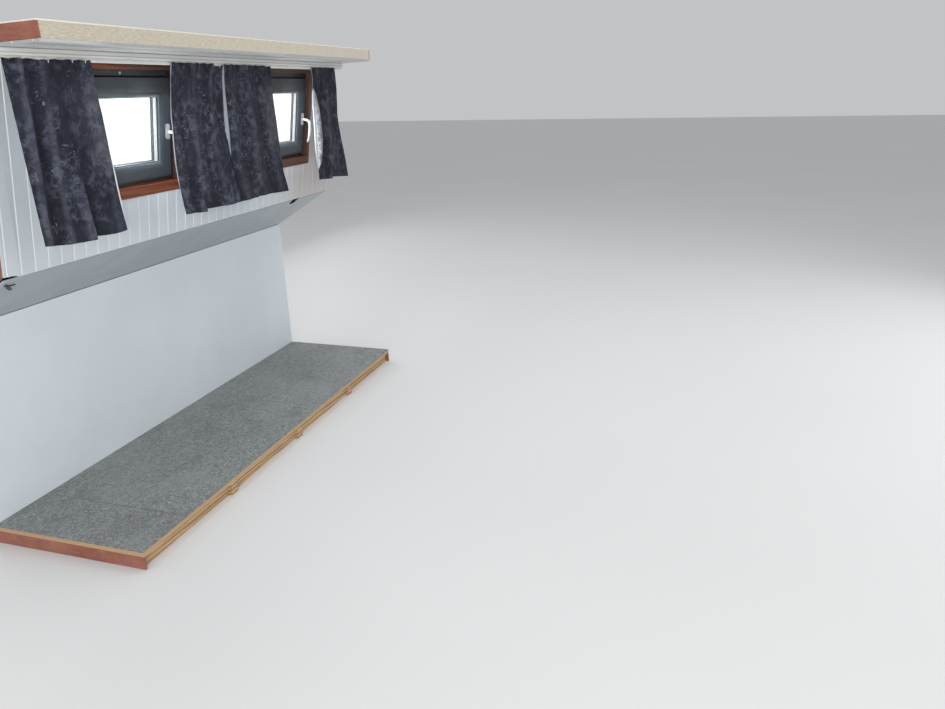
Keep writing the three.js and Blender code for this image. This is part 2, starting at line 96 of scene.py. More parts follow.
class Mat:
    """Builds one node material. Values are numbers, tuples or sockets."""

    def __init__(self, name, rough=0.5, metal=0.0):
        self.m = bpy.data.materials.new(name)
        self.m.use_nodes = True
        self.t = self.m.node_tree
        self.t.nodes.clear()
        self.out = self.t.nodes.new("ShaderNodeOutputMaterial")
        self.b = self.t.nodes.new("ShaderNodeBsdfPrincipled")
        self.t.links.new(self.b.outputs[0], self.out.inputs["Surface"])
        self.b.inputs["Roughness"].default_value = rough
        self.b.inputs["Metallic"].default_value = metal
        self._co = None
        self._sep = None
        self._normal = None

    def put(self, socket, value):
        if isinstance(value, bpy.types.NodeSocket):
            self.t.links.new(value, socket)
        elif isinstance(value, (tuple, list)):
            v = tuple(value)
            if socket.type == "RGBA" and len(v) == 3:
                v += (1.0,)
            socket.default_value = v
        else:
            socket.default_value = value

    def set(self, name, value):
        self.put(self.b.inputs[name], value)
        return self

    def node(self, kind, **props):
        n = self.t.nodes.new(kind)
        for k, v in props.items():
            setattr(n, k, v)
        return n

    @property
    def co(self):
        if self._co is None:
            self._co = self.node("ShaderNodeTexCoord").outputs["Object"]
        return self._co

    def uv(self):
        return self.node("ShaderNodeTexCoord").outputs["UV"]

    @property
    def sep(self):
        if self._sep is None:
            n = self.node("ShaderNodeSeparateXYZ")
            self.put(n.inputs[0], self.co)
            self._sep = n.outputs
        return self._sep

    def xyz(self, x, y, z):
        n = self.node("ShaderNodeCombineXYZ")
        for s, v in zip(n.inputs, (x, y, z)):
            self.put(s, v)
        return n.outputs[0]

    def scaled(self, scale, vec=None, rot=(0, 0, 0), loc=(0, 0, 0)):
        n = self.node("ShaderNodeMapping")
        self.put(n.inputs["Vector"], self.co if vec is None else vec)
        n.inputs["Scale"].default_value = scale
        n.inputs["Rotation"].default_value = rot
        n.inputs["Location"].default_value = loc
        return n.outputs[0]

    def noise(self, scale, detail=3.0, rough=0.5, vec=None, distortion=0.0, color=False):
        n = self.node("ShaderNodeTexNoise")
        self.put(n.inputs["Vector"], self.co if vec is None else vec)
        n.inputs["Scale"].default_value = scale
        n.inputs["Detail"].default_value = detail
        n.inputs["Roughness"].default_value = rough
        n.inputs["Distortion"].default_value = distortion
        return n.outputs["Color" if color else "Fac"]

    def voronoi(self, scale, vec=None, feature="F1", out="Distance", rand=1.0):
        n = self.node("ShaderNodeTexVoronoi", feature=feature)
        self.put(n.inputs["Vector"], self.co if vec is None else vec)
        n.inputs["Scale"].default_value = scale
        n.inputs["Randomness"].default_value = rand
        return n.outputs[out]

    def white(self, w):
        n = self.node("ShaderNodeTexWhiteNoise", noise_dimensions="1D")
        self.put(n.inputs["W"], w)
        return n.outputs["Value"]

    def wave(self, scale, vec=None, distortion=0.0, detail=2.0, dscale=1.0, kind="BANDS", direction="X", profile="SIN"):
        n = self.node("ShaderNodeTexWave", wave_type=kind, wave_profile=profile)
        if kind == "BANDS":
            n.bands_direction = direction
        else:
            n.rings_direction = direction
        self.put(n.inputs["Vector"], self.co if vec is None else vec)
        n.inputs["Scale"].default_value = scale
        n.inputs["Distortion"].default_value = distortion
        n.inputs["Detail"].default_value = detail
        n.inputs["Detail Scale"].default_value = dscale
        return n.outputs["Fac"]

    def math(self, op, a, b=0.0, c=0.0, clamp=False):
        n = self.node("ShaderNodeMath", operation=op, use_clamp=clamp)
        self.put(n.inputs[0], a)
        self.put(n.inputs[1], b)
        self.put(n.inputs[2], c)
        return n.outputs[0]

    def add(self, a, b):
        return self.math("ADD", a, b)

    def mul(self, a, b):
        return self.math("MULTIPLY", a, b)

    def sub(self, a, b):
        return self.math("SUBTRACT", a, b)

    def range(self, v, lo, hi, to_lo=0.0, to_hi=1.0, smooth=True):
        n = self.node("ShaderNodeMapRange", interpolation_type="SMOOTHSTEP" if smooth else "LINEAR")
        self.put(n.inputs["Value"], v)
        n.inputs["From Min"].default_value = lo
        n.inputs["From Max"].default_value = hi
        n.inputs["To Min"].default_value = to_lo
        n.inputs["To Max"].default_value = to_hi
        return n.outputs["Result"]

    def mix(self, fac, a, b, blend="MIX"):
        n = self.node("ShaderNodeMix", data_type="RGBA", blend_type=blend)
        self.put(n.inputs[0], fac)
        self.put(n.inputs[6], a)
        self.put(n.inputs[7], b)
        return n.outputs[2]

    def ramp(self, fac, stops, mode="LINEAR"):
        n = self.node("ShaderNodeValToRGB")
        n.color_ramp.interpolation = mode
        e = n.color_ramp.elements
        while len(e) < len(stops):
            e.new(0.5)
        for el, (pos, col) in zip(e, stops):
            el.position = pos
            el.color = (*col, 1.0) if len(col) == 3 else col
        self.put(n.inputs["Fac"], fac)
        return n.outputs["Color"]

    def bump(self, height, distance, strength=1.0):
        n = self.node("ShaderNodeBump")
        n.inputs["Strength"].default_value = strength
        n.inputs["Distance"].default_value = distance
        self.put(n.inputs["Height"], height)
        if self._normal is not None:
            self.put(n.inputs["Normal"], self._normal)
        self._normal = n.outputs[0]
        self.put(self.b.inputs["Normal"], self._normal)
        return self

    def slope_coords(self):
        """Object coordinates turned into the plane of the coaming: x along, y outboard, z up the slope."""
        n = self.node("ShaderNodeVectorRotate", rotation_type="X_AXIS")
        self.put(n.inputs["Vector"], self.co)
        n.inputs["Center"].default_value = (0, wall(SILL_Z), SILL_Z)
        n.inputs["Angle"].default_value = -LEAN
        return n.outputs[0]


def window_u(m, x):
    """Distance along the barge from the middle of the window that x belongs to."""
    first = m.math("LESS_THAN", x, 0.0)
    return m.sub(x, m.add(WIN_X[2], m.mul(first, WIN_X[1] - WIN_X[2])))


# ---------------------------------------------------------------- materials


def mat_boards():
    """White painted tongue-and-groove boards, each a shade apart, with wide bright chamfers at the joints."""
    m = Mat("white_boards", 0.34)
    p = m.slope_coords()
    s = m.node("ShaderNodeSeparateXYZ")
    m.put(s.inputs[0], p)
    t = m.mul(m.add(s.outputs["X"], HALF - 0.0098), 1 / BOARD)
    idx = m.math("FLOOR", t)
    f = m.math("FRACT", t)
    near = m.mul(m.math("MINIMUM", f, m.sub(1.0, f)), BOARD)
    wob = m.mul(m.sub(m.noise(1.0, 3, 0.6, vec=m.scaled((8, 8, 22), p)), 0.5), 0.0012)
    near = m.add(near, wob)
    groove = m.range(near, 0.0036, 0.0048, 1.0, 0.0)
    tone = m.white(idx)
    base = m.mix(tone, (0.430, 0.464, 0.494), (0.460, 0.495, 0.523))
    cloud = m.noise(2.4, 4, 0.55)
    base = m.mix(m.range(cloud, 0.35, 0.75, 0.0, 0.06), base, (0.46, 0.485, 0.51))
    streak = m.noise(1.0, 3, 0.6, vec=m.scaled((170, 20, 4), p))
    base = m.mix(m.range(streak, 0.3, 0.8, 0.0, 0.06), base, (0.50, 0.53, 0.55))
    base = m.mix(groove, base, (0.522, 0.554, 0.582))
    # painted shadow: a thin dark line at the bottom of each groove
    base = m.mix(m.mul(m.range(near, 0.0001, 0.0005, 1.0, 0.0), 0.55), base, (0.30, 0.31, 0.32))
    # a little grime where hands and the curtains' hems rub, low down
    low = m.range(m.sub(s.outputs["Z"], SILL_Z), -0.19, -0.10, 1.0, 0.0)
    smear = m.mul(low, m.range(m.noise(14, 5, 0.7, vec=m.scaled((1, 1, 3), p)), 0.52, 0.75))
    base = m.mix(m.mul(smear, 0.04), base, (0.42, 0.41, 0.39))
    # filled nail heads on each board
    nv = m.math("FRACT", m.mul(m.add(s.outputs["Z"], 0.195), 1 / 0.38))
    dz = m.mul(m.sub(nv, 0.06), 0.38)
    dx = m.mul(m.sub(f, 0.22), BOARD)
    dot = m.math("SQRT", m.add(m.mul(dz, dz), m.mul(dx, dx)))
    nail = m.range(dot, 0.0014, 0.0022, 1.0, 0.0)
    base = m.mix(m.mul(nail, 0.16), base, (0.40, 0.41, 0.42))
    # painted shade: darker and warmer toward the forward end, for the dimmer, warmer light there
    far_end_shade = m.range(m.add(s.outputs["X"], m.mul(m.sub(cloud, 0.5), 0.25)), 0.38, 1.02)
    base = m.mix(far_end_shade, base, m.mix(1.0, base, (0.880, 0.770, 0.720), blend="MULTIPLY"))
    # painted shadow: the strip of boards between the forward window and its curtain is darkened as in the curtain's
    # shadow, more so higher up
    strip = m.mul(m.range(s.outputs["X"], 0.955, 0.985), m.range(s.outputs["X"], 1.04, 1.12, 1.0, 0.0))
    up = m.sub(s.outputs["Z"], SILL_Z)
    strip = m.mul(m.mul(strip, m.range(up, 0.02, 0.42, 0.22, 0.52, smooth=False)), m.mul(m.range(up, -0.04, 0.06), m.range(up, 0.44, 0.52, 1.0, 0.0)))
    base = m.mix(strip, base, (0.06, 0.055, 0.055))
    m.set("Base Color", base)
    m.set("Roughness", m.range(m.noise(7, 3, 0.5), 0.3, 0.8, 0.31, 0.37))
    m.set("Coat Weight", 0.08)
    m.bump(m.noise(1.0, 4, 0.6, vec=m.scaled((420, 40, 9), p)), 0.00006, 0.7)
    m.bump(m.noise(26, 3, 0.5), 0.0002, 0.04)
    m.bump(m.mul(nail, -1.0), 0.0001, 0.5)
    return m.m


def mat_ceiling():
    """Glossy lacquered ceiling boards with bright joints."""
    m = Mat("ceiling_gloss", 0.12)
    y = m.sep["Y"]
    d = None
    for c in (CUT_Y + 0.026, CUT_Y + 0.026 + 0.085):
        a = m.math("ABSOLUTE", m.sub(y, c))
        d = a if d is None else m.math("MINIMUM", d, a)
    joint = m.range(d, 0.0022, 0.0040, 1.0, 0.0)
    base = m.mix(m.range(m.noise(2.5, 3), 0.3, 0.7), (0.290, 0.304, 0.308), (0.330, 0.343, 0.347))
    base = m.mix(joint, base, (0.47, 0.485, 0.485))
    m.set("Base Color", base)
    m.set("Roughness", m.range(m.noise(5, 4), 0.3, 0.75, 0.07, 0.16))
    m.set("Coat Weight", 0.5)
    m.bump(m.noise(1.0, 2, 0.5, vec=m.scaled((2, 22, 22))), 0.0006, 0.3)
    return m.m


def mat_paint(name, a, b, rough, stain=(0.45, 0.44, 0.42), stain_amount=0.18, stipple=0.00022, bump_scale=420, swell=0.0035):
    """Rolled wall paint on panels: fine stipple, faint joints and marks."""
    m = Mat(name, rough)
    base = m.mix(m.range(m.noise(1.7, 5, 0.6), 0.3, 0.75), a, b)
    marks = m.range(m.noise(9, 7, 0.7), 0.60, 0.78)
    base = m.mix(m.mul(marks, stain_amount), base, stain)
    m.set("Base Color", base)
    m.set("Roughness", m.range(m.noise(6, 4), 0.3, 0.8, rough - 0.07, rough + 0.10))
    m.bump(m.noise(bump_scale, 2, 0.5), stipple, 0.7)
    if swell:
        m.bump(m.noise(3.5, 3, 0.5), swell, 0.22)
    return m.m


def wood_nodes(m, vec, dark, mid, light, ring=9.0, fine=1.0):
    """Grain that runs along the vector's X."""
    warp = m.noise(1.6, 4, 0.6, vec=m.scaled((1.2, 9, 9), vec), color=True)
    v = m.node("ShaderNodeVectorMath", operation="ADD")
    m.put(v.inputs[0], vec)
    k = m.node("ShaderNodeVectorMath", operation="SCALE")
    m.put(k.inputs[0], warp)
    k.inputs["Scale"].default_value = 0.035
    m.put(v.inputs[1], k.outputs[0])
    rings = m.wave(ring, vec=m.scaled((0.18, 4.0, 5.5), v.outputs[0]), distortion=3.2, detail=3, dscale=1.4, direction="DIAGONAL")
    fibre = m.noise(1.0, 5, 0.65, vec=m.scaled((9 * fine, 520 * fine, 520 * fine), vec))
    pores = m.noise(1.0, 2, 0.5, vec=m.scaled((28 * fine, 900 * fine, 900 * fine), vec))
    pore = m.range(pores, 0.56, 0.66)
    c = m.ramp(rings, [(0.0, dark), (0.45, mid), (1.0, light)])
    c = m.mix(m.range(fibre, 0.35, 0.7, 0.0, 0.45), c, dark)
    c = m.mix(m.mul(pore, 0.5), c, tuple(x * 0.35 for x in dark))
    return c, fibre, pore


def mat_mahogany():
    """Varnished mahogany: grain along the sill and head, and up the jambs, with butt joints."""
    m = Mat("mahogany", 0.28)
    p = m.slope_coords()
    s = m.node("ShaderNodeSeparateXYZ")
    m.put(s.inputs[0], p)
    x = s.outputs["X"]
    u = m.math("ABSOLUTE", window_u(m, x))
    jamb = m.math("GREATER_THAN", u, U_IN)
    turned = m.xyz(s.outputs["Z"], s.outputs["Y"], x)
    vec = m.node("ShaderNodeMix", data_type="VECTOR")
    m.put(vec.inputs[0], jamb)
    m.put(vec.inputs[4], p)
    m.put(vec.inputs[5], turned)
    c, fibre, pore = wood_nodes(m, vec.outputs[1], (0.092, 0.0190, 0.0058), (0.150, 0.0350, 0.0100), (0.205, 0.0540, 0.0160), ring=5.0)
    joint = m.range(m.math("ABSOLUTE", m.sub(u, U_IN)), 0.0, 0.0009, 1.0, 0.0)
    c = m.mix(m.mul(joint, 0.75), c, (0.02, 0.005, 0.003))
    fade = m.range(m.noise(5, 4, 0.6), 0.45, 0.75)
    c = m.mix(m.mul(fade, 0.22), c, (0.24, 0.085, 0.034))
    # painted shade: the head is darkened for the lath's shadow, less at the aft end of the first window, and the
    # forward window's surround is darkened; a painted sheen greys the reveals that face aft
    head = m.range(s.outputs["Z"], SILL_Z + HEAD_V - HEAD_T - 0.004, SILL_Z + HEAD_V - HEAD_T + 0.002, 0.0, 0.66)
    head = m.mul(head, m.range(x, -0.66, -0.50, 0.12, 1.0))
    dark = m.math("MAXIMUM", head, m.range(x, -0.1, 0.1, 0.0, 0.60))
    c = m.mix(dark, c, (0.020, 0.0085, 0.0058))
    g = m.node("ShaderNodeNewGeometry")
    ns = m.node("ShaderNodeSeparateXYZ")
    m.put(ns.inputs[0], g.outputs["True Normal"])
    aft_reveal_sheen = m.mul(m.math("LESS_THAN", ns.outputs["X"], -0.6), m.math("LESS_THAN", u, U_IN + 0.004))
    c = m.mix(m.mul(aft_reveal_sheen, 0.62), c, (0.078, 0.052, 0.046))
    m.set("Base Color", c)
    m.set("Roughness", m.range(m.noise(11, 4), 0.3, 0.8, 0.32, 0.48))
    m.set("Specular IOR Level", 0.28)
    m.set("Coat Weight", 0.05)
    m.set("Coat Roughness", 0.25)
    m.bump(m.sub(fibre, m.mul(pore, 0.8)), 0.00016, 0.6)
    m.bump(m.noise(12, 3), 0.0008, 0.25)
    return m.m


def mat_timber(name="timber", tint=1.0):
    m = Mat(name, 0.75)
    c, fibre, pore = wood_nodes(m, m.co, (0.25 * tint, 0.14 * tint, 0.065 * tint), (0.42 * tint, 0.27 * tint, 0.14 * tint), (0.52 * tint, 0.36 * tint, 0.20 * tint), ring=5.0, fine=0.7)
    saw = m.noise(1.0, 2, 0.5, vec=m.scaled((160, 30, 2)))
    c = m.mix(m.range(m.noise(4, 5), 0.5, 0.8, 0.0, 0.3), c, (0.16, 0.11, 0.07))
    m.set("Base Color", c)
    m.bump(fibre, 0.0004, 0.6)
    m.bump(saw, 0.0004, 0.5)
    return m.m


def mat_plywood():
    """Plywood: veneers that show in bands on the edges, and a grained face."""
    m = Mat("plywood", 0.6)
    c, fibre, pore = wood_nodes(m, m.co, (0.30, 0.17, 0.08), (0.47, 0.30, 0.16), (0.56, 0.39, 0.23), ring=2.4, fine=0.6)
    z = m.mul(m.sub(m.sep["Z"], 0.060), 1 / 0.00257)
    layer = m.math("FLOOR", z)
    odd = m.math("MODULO", layer, 2.0)
    line = m.math("MINIMUM", m.math("FRACT", z), m.sub(1.0, m.math("FRACT", z)))
    tone = m.mix(odd, (0.55, 0.40, 0.24), (0.28, 0.16, 0.08))
    tone = m.mix(m.mul(m.noise(1.0, 3, 0.6, vec=m.scaled((260, 260, 900))), 0.55), tone, (0.38, 0.24, 0.13))
    tone = m.mix(m.range(line, 0.0, 0.09, 0.8, 0.0), tone, (0.10, 0.05, 0.03))
    g = m.node("ShaderNodeNewGeometry")
    ns = m.node("ShaderNodeSeparateXYZ")
    m.put(ns.inputs[0], g.outputs["True Normal"])
    face = m.math("GREATER_THAN", m.math("ABSOLUTE", ns.outputs["Z"]), 0.7)
    m.set("Base Color", m.mix(face, tone, c))
    m.bump(fibre, 0.0003, 0.5)
    return m.m


def mat_carpet():
    """Needle-felt carpet: grey-green fibres flecked dark and pale, trodden and stained patches, and tile joints."""
    m = Mat("carpet", 0.96)
    fibre = m.noise(620, 3, 0.7)
    fleck = m.noise(150, 3, 0.75)
    clump = m.noise(52, 4, 0.7)
    c = m.ramp(fibre, [(0.30, (0.060, 0.067, 0.066)), (0.50, (0.140, 0.152, 0.149)), (0.66, (0.250, 0.266, 0.258))])
    c = m.mix(m.range(fleck, 0.38, 0.49, 0.80, 0.0), c, (0.038, 0.043, 0.044))
    c = m.mix(m.range(fleck, 0.52, 0.63, 0.0, 0.80), c, (0.345, 0.368, 0.362))
    c = m.mix(m.range(clump, 0.36, 0.49, 0.46, 0.0), c, (0.055, 0.061, 0.061))
    c = m.mix(m.range(clump, 0.52, 0.65, 0.0, 0.36), c, (0.300, 0.323, 0.322))
    # paler where it is trodden, brownish where it is stained
    trodden = m.noise(3.0, 5, 0.62)
    c = m.mix(m.range(trodden, 0.48, 0.66, 0.0, 0.34), c, (0.225, 0.242, 0.240))
    stain = m.noise(5.5, 6, 0.66, vec=m.scaled((1, 1, 1), loc=(3.7, 1.3, 0.0)))
    c = m.mix(m.range(stain, 0.50, 0.66, 0.0, 0.42), c, (0.082, 0.083, 0.074))
    # laid in tiles
    tx = m.math("FRACT", m.mul(m.add(m.sep["X"], 0.37), 1 / 0.60))
    ty = m.math("FRACT", m.mul(m.add(m.sep["Y"], 0.72), 1 / 0.60))
    edge = m.math("MINIMUM", m.math("MINIMUM", tx, m.sub(1.0, tx)), m.math("MINIMUM", ty, m.sub(1.0, ty)))
    edge = m.add(edge, m.mul(m.sub(m.noise(60, 3, 0.6), 0.5), 0.004))
    seam = m.range(edge, 0.0, 0.0050, 1.0, 0.0)
    c = m.mix(m.mul(seam, m.range(m.noise(4.0, 3), 0.35, 0.65, 0.35, 0.85)), c, (0.030, 0.033, 0.033))
    # felt backing below the pile, at the cut edges
    back = m.math("LESS_THAN", m.sep["Z"], 0.0800)
    c = m.mix(m.mul(back, 0.85), c, (0.035, 0.033, 0.03))
    m.set("Base Color", c)
    m.set("Sheen Weight", 0.20)
    m.set("Sheen Roughness", 0.6)
    m.bump(m.noise(480, 3, 0.8), 0.0018, 0.9)
    m.bump(m.sub(m.add(m.mul(fleck, 1.2), m.mul(clump, 0.8)), m.mul(seam, 1.2)), 0.0024, 0.6)
    return m.m


def mat_frame(name="dark_frame", lo=(0.018, 0.022, 0.030), hi=(0.034, 0.040, 0.052)):
    """Foil-covered dark window bars: a fine embossed grain and welded mitres."""
    m = Mat(name, 0.36)
    p = m.slope_coords()
    s = m.node("ShaderNodeSeparateXYZ")
    m.put(s.inputs[0], p)
    au = m.math("ABSOLUTE", window_u(m, s.outputs["X"]))
    v = m.sub(s.outputs["Z"], SILL_Z)
    vm = (S_V0 + S_V1) / 2
    av = m.math("ABSOLUTE", m.sub(v, vm))
    # bars run along u above and below, and along v at the sides
    across = m.sub(m.sub(au, GL_U), m.sub(av, (GL_V1 - GL_V0) / 2))
    mitre = m.range(m.math("ABSOLUTE", across), 0.0, 0.0009, 1.0, 0.0)
    inside = m.math("GREATER_THAN", av, (GL_V1 - GL_V0) / 2 - 0.002)
    mitre = m.mul(mitre, inside)
    side = m.math("GREATER_THAN", across, 0.0)
    vec = m.node("ShaderNodeMix", data_type="VECTOR")
    m.put(vec.inputs[0], side)
    m.put(vec.inputs[4], p)
    m.put(vec.inputs[5], m.xyz(s.outputs["Z"], s.outputs["Y"], s.outputs["X"]))
    grain = m.noise(1.0, 3, 0.6, vec=m.scaled((36, 900, 900), vec.outputs[1]))
    c = m.mix(m.range(grain, 0.35, 0.7), lo, hi)
    c = m.mix(m.mul(mitre, 0.8), c, (0.006, 0.007, 0.008))
    dust = m.range(m.noise(18, 6, 0.7), 0.55, 0.8)
    c = m.mix(m.mul(dust, 0.18), c, (0.16, 0.16, 0.16))
    # painted glow: the bars are lightened next to the glass for the daylight's glow round the panes, less on the side
    # bars
    away = m.math("MAXIMUM", m.sub(au, GL_U), m.sub(av, (GL_V1 - GL_V0) / 2))
    pane_glow = m.mul(m.range(away, -0.002, 0.034, 0.78, 0.0, smooth=False), m.range(m.noise(9, 4, 0.6), 0.25, 0.7, 0.55, 1.0))
    pane_glow = m.mul(pane_glow, m.range(side, 0.0, 1.0, 1.0, 0.36, smooth=False))
    c = m.mix(pane_glow, c, (0.115, 0.150, 0.172))
    # painted shade: the upper bars are darkened for the shade under the roof's edge, less over the aft half of the
    # first window
    upper_bar_shade = m.mul(m.range(v, GL_V1 - 0.006, GL_V1 + 0.014), m.range(s.outputs["X"], -0.68, -0.48, 0.25, 0.80))
    c = m.mix(upper_bar_shade, c, (0.003, 0.0035, 0.0045))
    m.set("Base Color", c)
    m.set("Roughness", m.range(m.noise(30, 4), 0.3, 0.8, 0.30, 0.46))
    m.set("Specular IOR Level", 0.5)
    m.bump(m.sub(grain, m.mul(mitre, 1.5)), 0.00022, 0.7)
    return m.m


def mat_plain(name, color, rough, metal=0.0, var=0.12, bump=0.00008, scale=300, coat=0.0):
    m = Mat(name, rough, metal)
    dark = tuple(x * (1 - var) for x in color)
    lite = tuple(min(1.0, x * (1 + var)) for x in color)
    m.set("Base Color", m.mix(m.range(m.noise(scale / 12, 5, 0.6), 0.3, 0.7), dark, lite))
    m.set("Roughness", m.range(m.noise(scale / 6, 4), 0.3, 0.75, max(0.03, rough - 0.06), rough + 0.08))
    if coat:
        m.set("Coat Weight", coat)
    m.bump(m.noise(scale, 3, 0.6), bump, 0.6)
    return m.m


def mat_glass():
    m = Mat("glass", 0.0)
    m.set("Base Color", (0.960, 0.982, 0.980))
    m.set("Transmission Weight", 1.0)
    m.set("IOR", 1.45)
    smear = m.range(m.noise(7, 5, 0.65), 0.55, 0.8, 0.0, 0.035)
    m.set("Roughness", smear)
    return m.m


def mat_spacer():
    """Aluminium spacer bar with its two rows of small breather holes."""
    m = Mat("spacer_bar", 0.42, 0.0)
    p = m.slope_coords()
    s = m.node("ShaderNodeSeparateXYZ")
    m.put(s.inputs[0], p)
    along = m.add(s.outputs["X"], s.outputs["Z"])
    dot = m.math("FRACT", m.mul(along, 1 / 0.004))
    hole = m.mul(m.range(m.math("ABSOLUTE", m.sub(dot, 0.5)), 0.10, 0.16, 1.0, 0.0), 1.0)
    row = m.math("ABSOLUTE", m.sub(m.math("ABSOLUTE", m.sub(s.outputs["Y"], wall(SILL_Z) + 0.0343)), 0.003))
    hole = m.mul(hole, m.range(row, 0.0004, 0.0007, 1.0, 0.0))
    brushed = m.noise(1.0, 3, 0.6, vec=m.scaled((30, 1200, 30), p))
    c = m.mix(m.range(brushed, 0.3, 0.7), (0.93, 0.94, 0.945), (0.97, 0.975, 0.98))
    c = m.mix(hole, c, (0.03, 0.03, 0.03))
    m.set("Base Color", c)
    m.bump(m.sub(brushed, hole), 0.0001, 0.6)
    return m.m


def mat_ship_paint(name, a, b, rough, rust_amount=0.5, runs=True, dents=0.003, metal=0.0, coat=0.2, scuffs=0.0):
    """Ship's paint on steel plate: brush marks, faded patches, rust spots with runs below them, slight dents."""
    m = Mat(name, rough, metal)
    base = m.mix(m.range(m.noise(2.2, 5, 0.6), 0.3, 0.75), a, b)
    strokes = m.noise(1.0, 3, 0.6, vec=m.scaled((6, 60, 150)))
    base = m.mix(m.range(strokes, 0.3, 0.8, 0.0, 0.18), base, tuple(min(1, x * 1.25 + 0.01) for x in b))
    spots = m.range(m.noise(17, 7, 0.72), 0.665, 0.70)
    spots2 = m.mul(m.range(m.noise(60, 5, 0.7), 0.69, 0.74), m.range(m.noise(2.0, 3), 0.45, 0.6))
    rust = m.math("MAXIMUM", spots, spots2)
    if runs:
        run = m.noise(1.0, 5, 0.6, vec=m.scaled((46, 46, 1.6)))
        run = m.mul(m.range(run, 0.60, 0.80), m.range(m.noise(3.0, 4), 0.45, 0.65))
        base = m.mix(m.mul(run, 0.55 * rust_amount), base, (0.20, 0.075, 0.03))
    rc = m.mix(m.noise(140, 4, 0.7), (0.085, 0.028, 0.012), (0.30, 0.115, 0.04))
    base = m.mix(m.mul(rust, rust_amount), base, rc)
    if scuffs:
        # long scrapes from quays and fenders
        scrape = m.noise(1.0, 3, 0.55, vec=m.scaled((2.6, 2.6, 130)))
        scrape = m.mul(m.range(scrape, 0.615, 0.66), m.range(m.noise(2.4, 4, 0.6), 0.47, 0.60))
        base = m.mix(m.mul(scrape, scuffs), base, (0.15, 0.155, 0.16))
        chalk = m.range(m.noise(4.0, 5, 0.6, vec=m.scaled((0.5, 1, 1.6))), 0.48, 0.72, 0.0, 0.22)
        base = m.mix(chalk, base, (0.075, 0.080, 0.088))
    m.set("Base Color", base)
    m.set("Roughness", m.math("ADD", m.range(m.noise(12, 4), 0.3, 0.8, rough - 0.08, rough + 0.10), m.mul(rust, 0.35), clamp=True))
    m.set("Coat Weight", coat)
    m.bump(m.add(m.mul(strokes, 0.5), m.mul(rust, 1.0)), 0.0005, 0.6)
    m.bump(m.noise(2.6, 3, 0.5), dents, 0.5)
    return m.m


def mat_deck():
    """Anti-slip deck paint: coarse sand in grey paint, worn along the walkway."""
    m = Mat("deck_paint", 0.8)
    sand = m.noise(900, 2, 0.7)
    grit = m.voronoi(620)
    y = m.sep["Y"]
    margin = m.math("MAXIMUM", m.range(y, 0.022, 0.026, 1.0, 0.0), m.range(y, 0.358, 0.362, 0.0, 1.0))
    c = m.mix(m.range(sand, 0.35, 0.7), (0.105, 0.115, 0.12), (0.20, 0.212, 0.215))
    walk = m.mul(m.range(m.math("ABSOLUTE", m.sub(y, 0.19)), 0.03, 0.15, 1.0, 0.0), m.range(m.noise(5, 5, 0.6), 0.4, 0.7))
    c = m.mix(m.mul(walk, 0.35), c, (0.29, 0.29, 0.275))
    c = m.mix(m.mul(margin, 0.9), c, (0.155, 0.165, 0.17))
    rust = m.range(m.noise(23, 7, 0.72), 0.68, 0.71)
    c = m.mix(m.mul(rust, 0.7), c, (0.17, 0.065, 0.028))
    m.set("Base Color", c)
    m.set("Roughness", m.range(margin, 0.0, 1.0, 0.85, 0.5, smooth=False))
    m.bump(m.mul(m.sub(1.0, margin), m.range(grit, 0.1, 0.6, 1.0, 0.0)), 0.0009, 0.8)
    m.bump(m.noise(3, 3), 0.003, 0.4)
    return m.m


def mat_primed():
    """Primed steel with its cut faces: brushed red-brown primer, mill scale, scratches and light rust."""
    m = Mat("primed_steel", 0.62, 0.0)
    c = m.mix(m.range(m.noise(6, 6, 0.65), 0.35, 0.7), (0.20, 0.062, 0.040), (0.30, 0.105, 0.066))
    brush = m.noise(1.0, 4, 0.65, vec=m.scaled((40, 14, 150)))
    c = m.mix(m.range(brush, 0.40, 0.72, 0.0, 0.38), c, (0.36, 0.155, 0.105))
    scale = m.range(m.noise(34, 6, 0.7), 0.55, 0.64)
    c = m.mix(m.mul(scale, 0.55), c, (0.10, 0.085, 0.080))
    rust = m.range(m.noise(90, 5, 0.75), 0.58, 0.68)
    c = m.mix(m.mul(rust, 0.55), c, (0.33, 0.14, 0.05))
    line = m.range(m.noise(1.0, 2, 0.5, vec=m.scaled((9, 9, 420), rot=(0.5, 0, 0))), 0.70, 0.73)
    c = m.mix(m.mul(m.mul(line, m.range(m.noise(7, 4), 0.5, 0.6)), 0.7), c, (0.42, 0.40, 0.38))
    dust = m.range(m.noise(3.0, 5, 0.6), 0.45, 0.75, 0.0, 0.16)
    c = m.mix(dust, c, (0.34, 0.26, 0.22))
    m.set("Base Color", c)
    m.set("Roughness", m.range(m.noise(20, 4), 0.3, 0.8, 0.50, 0.75))
    m.bump(m.noise(220, 4, 0.7), 0.0003, 0.7)
    m.bump(m.sub(brush, m.mul(line, 0.6)), 0.0004, 0.5)
    m.bump(m.noise(9, 4), 0.0012, 0.4)
    return m.m


def mat_insulation():
    """Mineral wool: layered fibres, pale yellow-brown."""
    m = Mat("insulation", 0.97)
    fib = m.noise(1.0, 5, 0.75, vec=m.scaled((45, 60, 420)))
    lump = m.noise(26, 5, 0.65)
    c = m.ramp(fib, [(0.28, (0.26, 0.225, 0.165)), (0.5, (0.46, 0.415, 0.325)), (0.72, (0.62, 0.585, 0.49))])
    c = m.mix(m.range(lump, 0.5, 0.75, 0.0, 0.45), c, (0.34, 0.29, 0.20))
    m.set("Base Color", c)
    m.set("Sheen Weight", 0.3)
    m.bump(fib, 0.003, 0.9)
    m.bump(lump, 0.006, 0.6)
    return m.m


